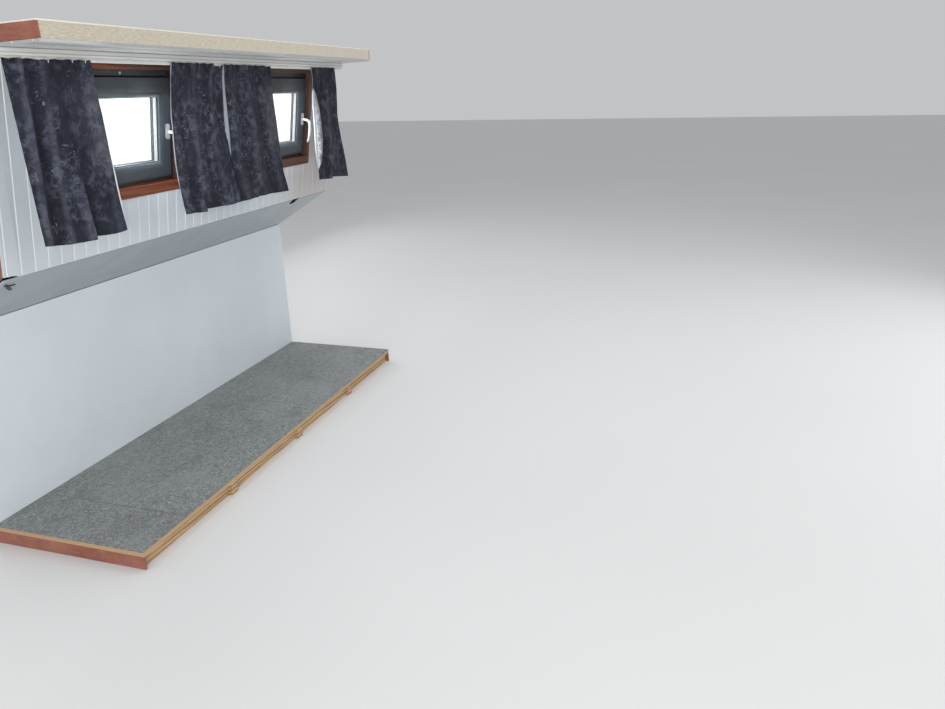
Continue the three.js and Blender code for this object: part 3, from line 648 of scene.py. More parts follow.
def mat_curtain():
    """Dark cloth with a clouded, marbled dye: blue-black with paler smoky patches and short pale strokes."""
    m = Mat("curtain_cloth", 0.9)
    uv = m.uv()
    warp = m.noise(8.0, 4, 0.6, vec=uv, color=True)
    v = m.node("ShaderNodeVectorMath", operation="ADD")
    m.put(v.inputs[0], uv)
    k = m.node("ShaderNodeVectorMath", operation="SCALE")
    m.put(k.inputs[0], warp)
    k.inputs["Scale"].default_value = 0.07
    m.put(v.inputs[1], k.outputs[0])
    w = v.outputs[0]
    cloud = m.noise(27.0, 6, 0.66, vec=w)
    cloud2 = m.noise(8.0, 3, 0.55, vec=m.scaled((1.0, 0.7, 1), w, loc=(3.1, 1.7, 0)))
    patch = m.mul(m.range(cloud, 0.45, 0.65), m.range(cloud2, 0.36, 0.62, 0.18, 1.0))
    c = m.mix(m.range(m.noise(5.0, 3, 0.5, vec=w), 0.35, 0.7), (0.0112, 0.0124, 0.0200), (0.0205, 0.0222, 0.0345))
    c = m.mix(m.mul(patch, 0.85), c, (0.090, 0.097, 0.138))
    # painted light and shade: the cloth is lightened along the ridges of the folds and darkened in the valleys
    fold_shading = m.node("ShaderNodeAttribute", attribute_name="fold_shading").outputs["Fac"]
    c = m.mix(m.mul(m.range(fold_shading, 0.55, 1.0), m.range(cloud, 0.30, 0.62, 0.16, 0.62)), c, (0.105, 0.112, 0.142))
    c = m.mix(m.range(fold_shading, 0.02, 0.42, 0.62, 0.0), c, (0.0075, 0.0082, 0.0125))
    vein = m.noise(30.0, 4, 0.6, vec=m.scaled((1.0, 1.0, 1), w, loc=(7.3, 2.9, 0)))
    vein = m.range(m.math("ABSOLUTE", m.sub(vein, 0.5)), 0.0, 0.020, 1.0, 0.0)
    c = m.mix(m.mul(m.mul(vein, m.range(cloud2, 0.45, 0.62)), 0.30), c, (0.125, 0.130, 0.160))
    # short pale crushed strokes that catch here and there
    st = m.noise(1.0, 3, 0.55, vec=m.scaled((34, 150, 1), w, rot=(0, 0, 0.75)))
    st2 = m.noise(1.0, 3, 0.55, vec=m.scaled((140, 36, 1), w, rot=(0, 0, -0.30)))
    stroke = m.mul(m.range(m.math("MAXIMUM", st, st2), 0.625, 0.685), m.range(m.noise(12, 3, 0.5, vec=w), 0.47, 0.57))
    c = m.mix(m.mul(stroke, 0.70), c, (0.215, 0.222, 0.270))
    # painted light: the cloth is lightened where it hangs beside the glass, for the window's glow on it
    u = window_u(m, m.sep["X"])
    glass_glow = m.mul(m.range(u, -0.37, -0.24), m.math("LESS_THAN", u, -0.12))
    glass_glow = m.mul(glass_glow, m.mul(m.range(m.sep["Z"], 1.44, 1.60), m.range(m.sep["Z"], 1.78, 1.88, 1.0, 0.0)))
    c = m.mix(m.mul(glass_glow, 0.62), c, m.mix(m.range(cloud, 0.35, 0.7), (0.072, 0.076, 0.096), (0.150, 0.156, 0.185)))
    weft = m.wave(1.0, vec=m.scaled((0, 1450, 0), uv), direction="Y")
    warpw = m.wave(1.0, vec=m.scaled((1450, 0, 0), uv), direction="X")
    weave = m.mul(weft, warpw)
    c = m.mix(m.mul(m.noise(420, 2, 0.6, vec=uv), 0.30), c, (0.011, 0.012, 0.017))
    # the two curtains of the forward window are darker
    c = m.mix(m.range(m.sep["X"], -0.05, 0.30), c, m.mix(1.0, c, (0.80, 0.79, 0.78), blend="MULTIPLY"))
    m.set("Base Color", c)
    m.set("Sheen Weight", 0.05)
    m.set("Sheen Roughness", 0.45)
    m.set("Sheen Tint", (0.70, 0.73, 0.85))
    m.set("Specular IOR Level", 0.14)
    m.bump(weave, 0.00025, 0.5)
    m.bump(m.noise(320, 3, 0.7, vec=uv), 0.0004, 0.5)
    return m.m


def mat_weld():
    """Weld beads under paint: the ripples stand out and catch rust."""
    m = Mat("weld", 0.5)
    c = m.mix(m.range(m.noise(60, 5, 0.7), 0.5, 0.68), (0.030, 0.030, 0.033), (0.16, 0.065, 0.03))
    m.set("Base Color", c)
    m.bump(m.noise(500, 3, 0.6), 0.0003, 0.6)
    return m.m


def mat_lining(name="curtain_lining", start=None, edge_shade_bands=(), edge_shade_ramps=(), reach=0.0):
    """White lining. Where start is given, painted shade darkens it along that edge in bands: each band is its colour,
    the distances from the edge where it is full and where it ends, and how ragged it is. Then ramps of painted shade,
    each its axis, where it begins and is full, amount and colour, as far in as reach."""
    m = Mat(name, 0.85)
    uv = m.uv()
    c = m.mix(m.range(m.noise(16, 4, 0.6, vec=uv), 0.3, 0.7), (0.66, 0.67, 0.69), (0.76, 0.77, 0.78))
    if start is not None:
        sep = m.node("ShaderNodeSeparateXYZ")
        m.put(sep.inputs[0], uv)
        blot = m.sub(m.noise(1.0, 4, 0.62, vec=m.scaled((16, 30, 1), uv)), 0.5)
        blot = m.add(blot, m.mul(m.sub(m.noise(1.0, 4, 0.7, vec=m.scaled((60, 95, 1), uv)), 0.5), 0.55))
        # painted shade: darkened in bands along the edge and in ramps by height and by distance in from it
        for color, full, end, rag in edge_shade_bands:
            far = m.add(m.sub(sep.outputs["X"], start), m.mul(blot, rag))
            c = m.mix(m.range(far, full, end, 0.95, 0.0), c, color)
        for axis, begins, full, amount, color in edge_shade_ramps:
            inward = m.sub(sep.outputs["X"], start)
            k = m.range(inward if axis == "X" else sep.outputs["Y"], begins, full, 0.0, amount)
            c = m.mix(m.mul(k, m.range(inward, reach, reach + 0.02, 1.0, 0.0)), c, color)
    m.set("Base Color", c)
    m.set("Sheen Weight", 0.15)
    m.bump(m.noise(900, 2, 0.6, vec=uv), 0.0002, 0.6)
    return m.m


def mat_rubber():
    m = Mat("gasket", 0.55)
    m.set("Base Color", m.mix(m.noise(60, 4, 0.6), (0.008, 0.008, 0.009), (0.022, 0.022, 0.023)))
    m.bump(m.noise(400, 3, 0.6), 0.0001, 0.6)
    return m.m


# ---------------------------------------------------------------- mesh helpers


def new_object(name, verts, faces, material, smooth=True, uvs=None):
    me = bpy.data.meshes.new(name)
    me.from_pydata([tuple(v) for v in verts], [], [tuple(f) for f in faces])
    me.validate()
    me.update()
    if smooth:
        me.polygons.foreach_set("use_smooth", [True] * len(me.polygons))
    if uvs is not None:
        layer = me.uv_layers.new(name="UVMap")
        idx = np.empty(len(me.loops), np.int32)
        me.loops.foreach_get("vertex_index", idx)
        layer.data.foreach_set("uv", np.asarray(uvs, np.float32)[idx].ravel())
    o = bpy.data.objects.new(name, me)
    bpy.context.scene.collection.objects.link(o)
    if material:
        me.materials.append(material)
    return o


class Build:
    """Gathers many small closed shapes into one mesh."""

    def __init__(self):
        self.v, self.f = [], []

    def add(self, verts, faces):
        n = len(self.v)
        self.v += [tuple(p) for p in verts]
        self.f += [tuple(n + i for i in f) for f in faces]

    def frames(self, path):
        pts = [Vector(p) for p in path]
        out, side = [], None
        for i, p in enumerate(pts):
            t = (pts[min(i + 1, len(pts) - 1)] - pts[max(i - 1, 0)]).normalized()
            if side is None:
                side = t.cross(Vector((1, 0, 0)))
                if side.length < 1e-3:
                    side = t.cross(Vector((0, 0, 1)))
            side = (side - t * side.dot(t)).normalized()
            out.append((p, t, side, t.cross(side)))
        return out

    def sweep(self, path, section):
        """section is a loop of (side, other) offsets, or one such loop for each point of the path."""
        fr = self.frames(path)
        per = isinstance(section[0][0], (tuple, list))
        m = len(section[0]) if per else len(section)
        verts, faces = [], []
        for i, (p, t, a, b) in enumerate(fr):
            for q in section[i] if per else section:
                verts.append(p + a * q[0] + b * q[1])
        for i in range(len(fr) - 1):
            for j in range(m):
                k = (j + 1) % m
                faces.append((i * m + j, i * m + k, (i + 1) * m + k, (i + 1) * m + j))
        faces.append(tuple(range(m))[::-1])
        faces.append(tuple((len(fr) - 1) * m + j for j in range(m)))
        self.add(verts, faces)

    def tube(self, path, r, n=8):
        self.sweep(path, [(r * math.cos(2 * math.pi * j / n), r * math.sin(2 * math.pi * j / n)) for j in range(n)])

    def strip(self, path, width, thick):
        a, b = thick / 2, width / 2
        c = 0.3 * a
        self.sweep(path, [(a, b - c), (a - c, b), (c - a, b), (-a, b - c), (-a, c - b), (c - a, -b), (a - c, -b), (a, c - b)])

    def ring(self, centre, axis, radius, r, n=16, m=8):
        z = Vector(axis).normalized()
        x = z.orthogonal().normalized()
        y = z.cross(x)
        c = Vector(centre)
        verts, faces = [], []
        for i in range(n):
            d = x * math.cos(2 * math.pi * i / n) + y * math.sin(2 * math.pi * i / n)
            for j in range(m):
                verts.append(c + d * (radius + r * math.cos(2 * math.pi * j / m)) + z * r * math.sin(2 * math.pi * j / m))
        for i in range(n):
            for j in range(m):
                k, l = (i + 1) % n, (j + 1) % m
                faces.append((i * m + j, k * m + j, k * m + l, i * m + l))
        self.add(verts, faces)

    def lathe(self, centre, axis, profile, n=24, x=None):
        """profile is (radius, along the axis), from the axis to the axis."""
        z = Vector(axis).normalized()
        x = (Vector(x) if x is not None else z.orthogonal()).normalized()
        y = z.cross(x)
        c = Vector(centre)
        verts, faces, rings = [], [], []
        for r, h in profile:
            if r < 1e-7:
                rings.append([len(verts)])
                verts.append(c + z * h)
            else:
                rings.append(list(range(len(verts), len(verts) + n)))
                verts += [c + z * h + (x * math.cos(2 * math.pi * i / n) + y * math.sin(2 * math.pi * i / n)) * r for i in range(n)]
        for a, b in zip(rings, rings[1:]):
            for i in range(n):
                k = (i + 1) % n
                if len(a) == 1:
                    faces.append((a[0], b[k], b[i]))
                elif len(b) == 1:
                    faces.append((a[i], a[k], b[0]))
                else:
                    faces.append((a[i], a[k], b[k], b[i]))
        self.add(verts, faces)

    def screw(self, centre, axis, radius, height, turn=0.0):
        """A low domed head with a cross recess. centre is on the face that it sits on."""
        z = Vector(axis).normalized()
        x = z.orthogonal().normalized()
        x = x * math.cos(turn) + z.cross(x) * math.sin(turn)
        y = z.cross(x)
        c = Vector(centre)
        n = 32
        radii = [0.14, 0.30, 0.46, 0.50, 0.66, 0.84, 0.96, 1.0]
        verts = [c + z * height * 0.45]
        for q in radii:
            for i in range(n):
                arm = min(i % 8, 8 - i % 8) <= (1 if q > 0.2 else 2)
                h = height * math.sqrt(max(0.0, 1 - (q * 0.86) ** 2))
                if q <= 0.46 and arm:
                    h = height * (0.45 if q < 0.40 else 0.55)
                a = 2 * math.pi * i / n
                verts.append(c + (x * math.cos(a) + y * math.sin(a)) * (radius * q) + z * h)
        for i in range(n):
            a = 2 * math.pi * i / n
            verts.append(c + (x * math.cos(a) + y * math.sin(a)) * radius - z * 0.0002)
        faces = [(0, 1 + i, 1 + (i + 1) % n) for i in range(n)]
        for j in range(len(radii)):
            for i in range(n):
                k = (i + 1) % n
                faces.append((1 + j * n + i, 1 + (j + 1) * n + i, 1 + (j + 1) * n + k, 1 + j * n + k))
        faces.append(tuple(1 + len(radii) * n + i for i in range(n))[::-1])
        self.add(verts, faces)

    def bead(self, path, axis_a, axis_b, r, pitch=0.0045, seed=1):
        """A weld bead along a straight line from path[0] to path[1], bulging between two directions."""
        rng = np.random.default_rng(seed)
        p0, p1 = Vector(path[0]), Vector(path[1])
        a, b = Vector(axis_a).normalized(), Vector(axis_b).normalized()
        length = (p1 - p0).length
        n = int(length / pitch) * 3
        size = 1 + 0.10 * wander(rng, n + 1, max(4, n // 30))
        verts, faces = [], []
        m = 7
        for i in range(n + 1):
            c = p0.lerp(p1, i / n)
            ripple = 1 + 0.10 * ((i % 3) / 2.0 - 0.5)
            for j in range(m):
                ang = math.pi / 2 * j / (m - 2) if j < m - 1 else None
                if ang is None:
                    verts.append(c - (a + b) * 0.0004)
                else:
                    verts.append(c + (a * math.cos(ang) + b * math.sin(ang)) * r * float(size[i]) * ripple * (0.86 + 0.14 * math.cos(4 * ang)))
        for i in range(n):
            for j in range(m):
                k = (j + 1) % m
                faces.append((i * m + j, i * m + k, (i + 1) * m + k, (i + 1) * m + j))
        faces.append(tuple(range(m))[::-1])
        faces.append(tuple(n * m + j for j in range(m)))
        self.add(verts, faces)

    def frame_ring(self, place, rect, profile):
        """A closed section run round a rectangle with mitred corners. place(u, y, v) gives the point,
        rect is u0, u1, v0, v1, and the profile is a loop of (outward from the rectangle, y)."""
        u0, u1, v0, v1 = rect
        m = len(profile)
        verts, faces = [], []
        for u, su, v, sv in ((u0, -1, v0, -1), (u1, 1, v0, -1), (u1, 1, v1, 1), (u0, -1, v1, 1)):
            for o, y in profile:
                verts.append(place(u + su * o, y, v + sv * o))
        for i in range(4):
            for j in range(m):
                k, l = (i + 1) % 4, (j + 1) % m
                faces.append((i * m + j, k * m + j, k * m + l, i * m + l))
        self.add(verts, faces)

    def object(self, name, material, angle=40):
        o = new_object(name, self.v, self.f, material)
        bm = bmesh.new()
        bm.from_mesh(o.data)
        bmesh.ops.recalc_face_normals(bm, faces=bm.faces)
        bm.to_mesh(o.data)
        bm.free()
        o.data.polygons.foreach_set("use_smooth", [True] * len(o.data.polygons))
        o.data.set_sharp_from_angle(angle=math.radians(angle))
        return o


def wander(rng, n, knots):
    """n values that wander smoothly between -1 and 1."""
    k = rng.uniform(-1, 1, knots)
    t = np.linspace(0, knots - 1, n)
    i = np.clip(t.astype(int), 0, knots - 2)
    f = t - i
    f = f * f * (3 - 2 * f)
    return k[i] * (1 - f) + k[i + 1] * f


def step(x, a, b):
    t = np.clip((x - a) / (b - a), 0, 1)
    return t * t * (3 - 2 * t)


def apply_modifiers(o):
    bpy.context.view_layer.update()
    dg = bpy.context.evaluated_depsgraph_get()
    me = bpy.data.meshes.new_from_object(o.evaluated_get(dg))
    old = o.data
    o.modifiers.clear()
    o.data = me
    bpy.data.meshes.remove(old)
    return o


def piece(o, body):
    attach(o, body)
    return o


def use(node, material):
    o = NODES[node]
    o.data.materials.clear()
    o.data.materials.append(material)
    return o


def soften(node, width, segments=2, angle=35):
    """Rounds a CAD node's sharp edges a little."""
    o = NODES[node]
    w = o.modifiers.new("weld", "WELD")
    w.merge_threshold = 0.00002
    b = o.modifiers.new("bevel", "BEVEL")
    b.width = width
    b.segments = segments
    b.limit_method = "ANGLE"
    b.angle_limit = math.radians(angle)
    b.use_clamp_overlap = True
    b.harden_normals = False
    return o


# ---------------------------------------------------------------- camera, light, floor
cam_data = bpy.data.cameras.new("camera")
cam_data.sensor_fit = "HORIZONTAL"
cam_data.sensor_width = 36.0
cam_data.lens = 36.0 * 745.66 / 945
cam_data.clip_start, cam_data.clip_end = 0.02, 200
cam = bpy.data.objects.new("camera", cam_data)
bpy.context.scene.collection.objects.link(cam)
right = Vector((0.28864706, -0.95716682, -0.02268394))
down = Vector((-0.32913548, -0.07695125, -0.94114204))
ahead = Vector((0.89908437, 0.27912397, -0.33724931))
rot = Matrix((right, -down, -ahead)).transposed().to_4x4()
cam.matrix_world = Matrix.Translation((-3.260, -2.443, 1.784)) @ rot
bpy.context.scene.camera = cam

scene = bpy.context.scene
scene.view_settings.view_transform = "Standard"
scene.view_settings.look = "None"
scene.view_settings.exposure = 0.0

world = bpy.data.worlds.new("studio")
scene.world = world
world.use_nodes = True
world.node_tree.nodes["Background"].inputs["Color"].default_value = (0.955, 0.975, 1.0, 1)
world.node_tree.nodes["Background"].inputs["Strength"].default_value = 0.56


def area(name, loc, target, size, power, color=(1, 1, 1), camera=False, glossy=True):
    d = bpy.data.lights.new(name, "AREA")
    d.shape = "RECTANGLE"
    d.size, d.size_y = size
    d.energy = power
    d.color = color
    o = bpy.data.objects.new(name, d)
    scene.collection.objects.link(o)
    o.location = loc
    o.rotation_mode = "QUATERNION"
    o.rotation_quaternion = (Vector(target) - Vector(loc)).to_track_quat("-Z", "Y")
    o.visible_camera = camera
    o.visible_glossy = glossy
    return o


area("key", (-6.3, -3.7, 2.15), (0.2, -0.2, 1.4), (2.6, 2.0), 300, (1.0, 0.99, 0.975))
area("fill", (1.8, -5.4, 2.2), (0.2, 0.0, 1.2), (4.4, 3.0), 66, (0.96, 0.98, 1.0))
area("above", (0.8, -2.6, 5.0), (0.8, -2.4, 0.0), (7.0, 4.5), 84, (0.98, 0.99, 1.0))
area("outside", (2.2, 5.2, 4.4), (0.0, 0.3, 1.2), (4.0, 3.0), 50, (0.97, 0.985, 1.0))
# a sheet of daylight outboard of the windows, seen only through their glass
daylight = area("daylight", (2.2, 2.4, 1.72), (2.2, 0.0, 1.72), (8.0, 1.9), 50, (0.985, 0.99, 1.0))
for k in (1, 2):
    c = win(k, 0, 0.018, (GL_V0 + GL_V1) / 2)
    area("window_%d_light" % k, c, c - OUT, (0.42, 0.25), 6.5, (0.90, 0.955, 1.0), glossy=False)
    # what the sheet throws between the panes onto the spacer bar's forward leg
    c = win(k, -0.03, 0.0343, (GL_V0 + GL_V1) / 2)
    gap = area("window_%d_gap" % k, c, c + Vector((1, 0, 0)), (0.008, 0.24), (0.39, 0.5)[k - 1], (0.95, 0.985, 1.0), glossy=False)
    gap.rotation_quaternion = (Matrix.Rotation(LEAN, 3, "X") @ gap.rotation_quaternion.to_matrix()).to_quaternion()

floor_m = Mat("floor", 0.6)
floor_m.set("Base Color", floor_m.mix(floor_m.noise(0.6, 3), (0.64, 0.64, 0.635), (0.68, 0.68, 0.675)))
floor = new_object("floor", [(-40, -40, -0.0006), (40, -40, -0.0006), (40, 40, -0.0006), (-40, 40, -0.0006)], [(0, 1, 2, 3)], floor_m.m, smooth=False)

# ---------------------------------------------------------------- finishes of the CAD pieces
M = {
    "boards": mat_boards(),
    "ceiling": mat_ceiling(),
    "panel": mat_paint("panel_paint", (0.345, 0.385, 0.415), (0.380, 0.420, 0.450), 0.5),
    "lining": mat_paint("lining_paint", (0.510, 0.555, 0.592), (0.555, 0.602, 0.632), 0.42),
    "trim": mat_paint("white_trim", (0.575, 0.575, 0.555), (0.625, 0.625, 0.603), 0.4, stain_amount=0.08, stipple=0.00006, bump_scale=260, swell=0.0),
    "mahogany": mat_mahogany(),
    "timber": mat_timber(),
    "plywood": mat_plywood(),
    "carpet": mat_carpet(),
    "frame": mat_frame("dark_frame", (0.011, 0.0105, 0.0125), (0.021, 0.020, 0.024)),
    "sash": mat_frame("dark_sash", (0.013, 0.0165, 0.0220), (0.025, 0.031, 0.040)),
    "hinge": mat_plain("hinge_metal", (0.022, 0.023, 0.026), 0.34, 0.3),
    "handle": mat_plain("handle_white", (0.315, 0.324, 0.326), 0.36, 0.0, var=0.04, coat=0.05),
    "plate": mat_plain("handle_plate_white", (0.245, 0.252, 0.254), 0.42, 0.0, var=0.04),
    "track": mat_plain("track_plastic", (0.56, 0.56, 0.54), 0.35, 0.0, var=0.05),
    "glass": mat_glass(),
    "spacer": mat_spacer(),
    "hull": mat_ship_paint("hull_paint", (0.010, 0.012, 0.016), (0.020, 0.023, 0.028), 0.34, 0.85, scuffs=0.55),
    "deck": mat_deck(),
    "coaming": mat_ship_paint("coaming_paint", (0.60, 0.565, 0.46), (0.66, 0.625, 0.52), 0.3, 0.35, dents=0.002),
    "primed": mat_primed(),
    "insulation": mat_insulation(),
    "curtain": mat_curtain(),
    "lining_cloth": mat_lining(),
    "rubber": mat_rubber(),
    "weld": mat_weld(),
    "zinc": mat_plain("zinc", (0.55, 0.55, 0.53), 0.35, 0.9, var=0.12, bump=0.00005),
    "bright": mat_plain("bright_edge", (0.90, 0.92, 0.92), 0.4, 0.0, var=0.03, bump=0.00003),
    "cap": mat_plain("cap_grey", (0.34, 0.355, 0.37), 0.35, 0.0, var=0.08),
    "cap_brown": mat_plain("cap_brown", (0.040, 0.034, 0.034), 0.4, 0.0, var=0.1),
    # the linings at the rolled-back edge, at the side edge and in the gap between the curtains, with painted shade
    # along those edges
    "flap": mat_lining("curtain_lining_edge", 53 * 0.37, (((0.235, 0.252, 0.300), 0.038, 0.090, 0.16), ((0.056, 0.062, 0.086), 0.008, 0.046, 0.12)),
                       (("Y", -0.27, -0.18, 0.75, (0.15, 0.16, 0.18)), ("X", 0.070, 0.092, 0.82, (0.24, 0.25, 0.27))), 0.125),
    "edge_lining": mat_lining("curtain_lining_side", 23 * 0.37, (((0.34, 0.35, 0.375), 0.014, 0.040, 0.02),),
                              (("Y", -0.20, -0.10, 0.7, (0.13, 0.135, 0.15)),), 0.03),
    "gap_lining": mat_lining("curtain_lining_gap", 37 * 0.37, (((0.245, 0.258, 0.295), 0.075, 0.115, 0.03),)),
    "black": mat_plain("black_plastic", (0.010, 0.010, 0.011), 0.4, 0.0, var=0.2),
}
FINISH = {
    "floor_bearers": ("timber", 0.0015),
    "floor_board": ("plywood", 0.0),
    "floor_carpet": ("carpet", 0.0012),
    "hull_side_plate": ("hull", 0.001),
    "rubbing_band": ("hull", 0.0),
    "bulwark_capping": ("hull", 0.0),
    "side_deck_plate": ("deck", 0.0),
    "coaming_plate": ("coaming", 0.0),
    "roof_plate": ("coaming", 0.0015),
    "ring_frame_aft": ("primed", 0.0008),
    "ring_frame_fwd": ("primed", 0.0008),
    "roof_insulation": ("insulation", 0.0),
    "hull_insulation": ("insulation", 0.0),
    "coaming_boards": ("boards", 0.0005),
    "ceiling_boards": ("ceiling", 0.0005),
    "sloping_panel": ("panel", 0.0006),
    "hull_lining": ("lining", 0.0006),
    "curtain_lath": ("trim", 0.0015),
    "curtain_track": ("track", 0.0),
}
for node, (key, bevel) in FINISH.items():
    use(node, M[key])
    if bevel:
        soften(node, bevel)
for k in (1, 2):
    w = "window_%d_" % k
    for name, key, bevel in (
        ("surround", "mahogany", 0.0016), ("frame", "frame", 0.0009), ("sash", "sash", 0.0016),
        ("inner_pane", "glass", 0.0), ("outer_pane", "glass", 0.0), ("spacer", "spacer", 0.0004),
        ("hinge_lower_fixed", "hinge", 0.0005), ("hinge_upper_fixed", "hinge", 0.0005),
        ("hinge_lower_sash", "hinge", 0.0005), ("hinge_upper_sash", "hinge", 0.0005),
        ("handle_plate", "plate", 0.0012), ("handle_lever", "handle", 0.0),
    ):
        use(w + name, M[key])
        if bevel:
            soften(w + name, bevel)

# the glossy ceiling would show the sheet's mirror image beyond the cut, so the sheet doesn't light it
spared = bpy.data.collections.new("spared_by_daylight")
spared.objects.link(bpy.data.objects["ceiling_boards"])
daylight.light_linking.receiver_collection = spared
spared.collection_objects[0].light_linking.link_state = "EXCLUDE"

# ---------------------------------------------------------------- details of the windows


def ring_piece(name, k, body, material, rect, profile):
    b = Build()
    b.frame_ring(lambda u, y, v: win(k, u, y, v), rect, profile)
    return piece(b.object(name, material), body)


def bezier(points, n):
    out = []
    for i in range(n):
        t = i / (n - 1)
        q = [Vector(p) for p in points]
        while len(q) > 1:
            q = [a.lerp(b, t) for a, b in zip(q, q[1:])]
        out.append(q[0])
    return out


SASH = (-S_U, S_U, S_V0, S_V1)
GLASS = (-GL_U, GL_U, GL_V0, GL_V1)
for k in (1, 2):
    w, sash, handle = "window_%d_" % k, "sash_%d" % k, "handle_%d" % k
    place = lambda u, y, v, k=k: win(k, u, y, v)
    # rubber lip round the opening of the fixed frame
    ring_piece(w + "seal", k, "root", M["rubber"], SASH,
               [(0.0012, 0.0300), (0.0030, 0.0286), (0.0052, 0.0300), (0.0052, 0.0360), (0.0012, 0.0360)])
    # glazing bead clipped round the glass, with a gasket against the pane and a bright line behind it
    ring_piece(w + "glazing_bead", k, sash, M["sash"], GLASS,
               [(-0.0008, 0.0214), (-0.0008, 0.0146), (0.0008, 0.0122), (0.0030, 0.0111), (0.0168, 0.0109), (0.0180, 0.0116), (0.0180, 0.0124),
                (0.0004, 0.0124), (0.0002, 0.0214)])
    ring_piece(w + "gasket", k, sash, M["rubber"], GLASS,
               [(-0.0030, 0.02225), (-0.0036, 0.0213), (-0.0026, 0.0200), (-0.0010, 0.0192), (0.0001, 0.0192), (0.0001, 0.02225)])
    # screw caps: brown ones, with one pale cap over the first window
    b, pale = Build(), Build()
    for u, v in ((-0.2505, 0.504), (0.0158, 0.504), (0.2820, 0.504), (-0.3180, 0.165), (-0.3180, 0.355), (0.3180, 0.165), (0.3180, 0.355)):
        (pale if k == 1 and u == 0.0158 else b).lathe(
            place(u, 0.0280, v), -OUT, [(0, -0.0004), (0.0058, -0.0004), (0.0058, 0.0004), (0.0050, 0.0011), (0.0030, 0.0015), (0, 0.0016)], n=24)
    piece(b.object(w + "screw_caps", M["cap_brown"]), "root")
    if k == 1:
        piece(pale.object(w + "screw_cap_pale", M["cap"]), "root")
    # caps on the hinge pins: the lower one stays with the fixed half, the upper one turns with the sash
    hu, hy = -(S_U + 0.0025), 0.0020
    cap = [(0, -0.0002), (0.0068, -0.0002), (0.0068, 0.0006), (0.0060, 0.0018), (0.0040, 0.0028), (0, 0.0032)]
    low, top = Build(), Build()
    for v in (S_V0 + 0.022, S_V1 - 0.092):
        low.lathe(place(hu, hy, v), -UP, cap)
        top.lathe(place(hu, hy, v + 0.070), UP, cap)
        low.screw(place(-F_U + 0.0068, 0.0242, v + 0.010), -OUT, 0.0021, 0.0008, 0.4)
        low.screw(place(-F_U + 0.0068, 0.0242, v + 0.025), -OUT, 0.0021, 0.0008, 1.1)
        for dv in (0.0440, 0.0610):
            top.screw(place(hu + 0.0165, 0.0080, v + dv), -OUT, 0.0034, 0.0012, dv * 50)
    piece(low.object(w + "hinge_caps_fixed", M["hinge"]), "root")
    piece(top.object(w + "hinge_caps_sash", M["hinge"]), sash)
    # lock strip let into the sash's free edge, with mushroom cams, and the strikers on the frame
    b = Build()
    e = S_U - 0.0040
    b.sweep([place(e + 0.0002, 0.0450, S_V0 + 0.020), place(e + 0.0002, 0.0450, S_V1 - 0.020)],
            [(-0.0080, -0.0006), (0.0080, -0.0006), (0.0080, 0.0010), (-0.0080, 0.0010)])
    for v in (S_V0 + 0.060, (S_V0 + S_V1) / 2 - 0.030, S_V1 - 0.060):
        b.lathe(place(e, 0.0450, v), (1, 0, 0), [(0, 0), (0.0034, 0), (0.0034, 0.0018), (0.0050, 0.0022), (0.0050, 0.0030), (0, 0.0032)], n=20)
        for dv in (-0.028, 0.028):
            b.screw(place(e + 0.0008, 0.0450, v + dv), (1, 0, 0), 0.0034, 0.0009, dv * 40)
    piece(b.object(w + "lock_strip", M["zinc"]), sash)
    b = Build()
    for v in (S_V0 + 0.060, (S_V0 + S_V1) / 2 - 0.030, S_V1 - 0.060):
        c = place(S_U + 0.0050, 0.0530, v)
        b.sweep([c - UP * 0.022, c + UP * 0.022], [(-0.0080, -0.0018), (0.0080, -0.0018), (0.0080, 0.0002), (-0.0080, 0.0002)])
        for dv in (-0.016, 0.016):
            b.screw(place(S_U + 0.0032, 0.0530, v + dv), (-1, 0, 0), 0.0032, 0.0008, dv * 30)
    piece(b.object(w + "strikers", M["zinc"]), "root")
    # the lever, drawn finer than the CAD's: a round neck, a flattened grip and a rounded tip
    def lever_at(dv, out, k=k):
        return win(k, HANDLE_U, 0.0047 - out, HANDLE_V + dv)
    line = [lever_at(0, 0.022 * i / 5) for i in range(5)]
    line += bezier([lever_at(0, 0.022), lever_at(0, 0.044), lever_at(-0.022, 0.047)], 16)[:-1]
    line += bezier([lever_at(-0.022, 0.047), lever_at(-0.060, 0.052), lever_at(-0.095, 0.050), lever_at(-0.128, 0.038)], 34)
    lens = np.concatenate([[0], np.cumsum([(q - p).length for p, q in zip(line, line[1:])])])
    lens /= lens[-1]
    sections = []
    for f in lens:
        g = float(step(f, 0.20, 0.42))
        thick = 0.0072 + (0.0060 - 0.0072) * g - 0.0010 * float(step(f, 0.5, 0.95))
        wide = 0.0072 + (0.0094 - 0.0072) * g - 0.0012 * float(step(f, 0.6, 0.95))
        if f > 0.955:
            q = math.sqrt(max(0.0, 1 - ((f - 0.955) / 0.0452) ** 2))
            thick, wide = thick * (0.12 + 0.88 * q), wide * (0.12 + 0.88 * q)
        sec = []
        for i in range(20):
            a = 2 * math.pi * i / 20
            ca, sa = math.cos(a), math.sin(a)
            sec.append((thick * abs(ca) ** 0.85 * (1 if ca >= 0 else -1), wide * abs(sa) ** 0.85 * (1 if sa >= 0 else -1)))
        sections.append(sec)
    b = Build()
    b.sweep(line, sections)
    lever = piece(b.object(w + "lever", M["handle"], angle=60), handle)
    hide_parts(w + "handle_lever")
    b = Build()
    b.lathe(place(HANDLE_U, 0.0050, HANDLE_V), -OUT, [(0, -0.0002), (0.0112, -0.0002), (0.0112, 0.0010), (0.0100, 0.0022), (0.0080, 0.0026), (0, 0.0026)], n=36)
    piece(b.object(w + "handle_collar", M["plate"]), sash)
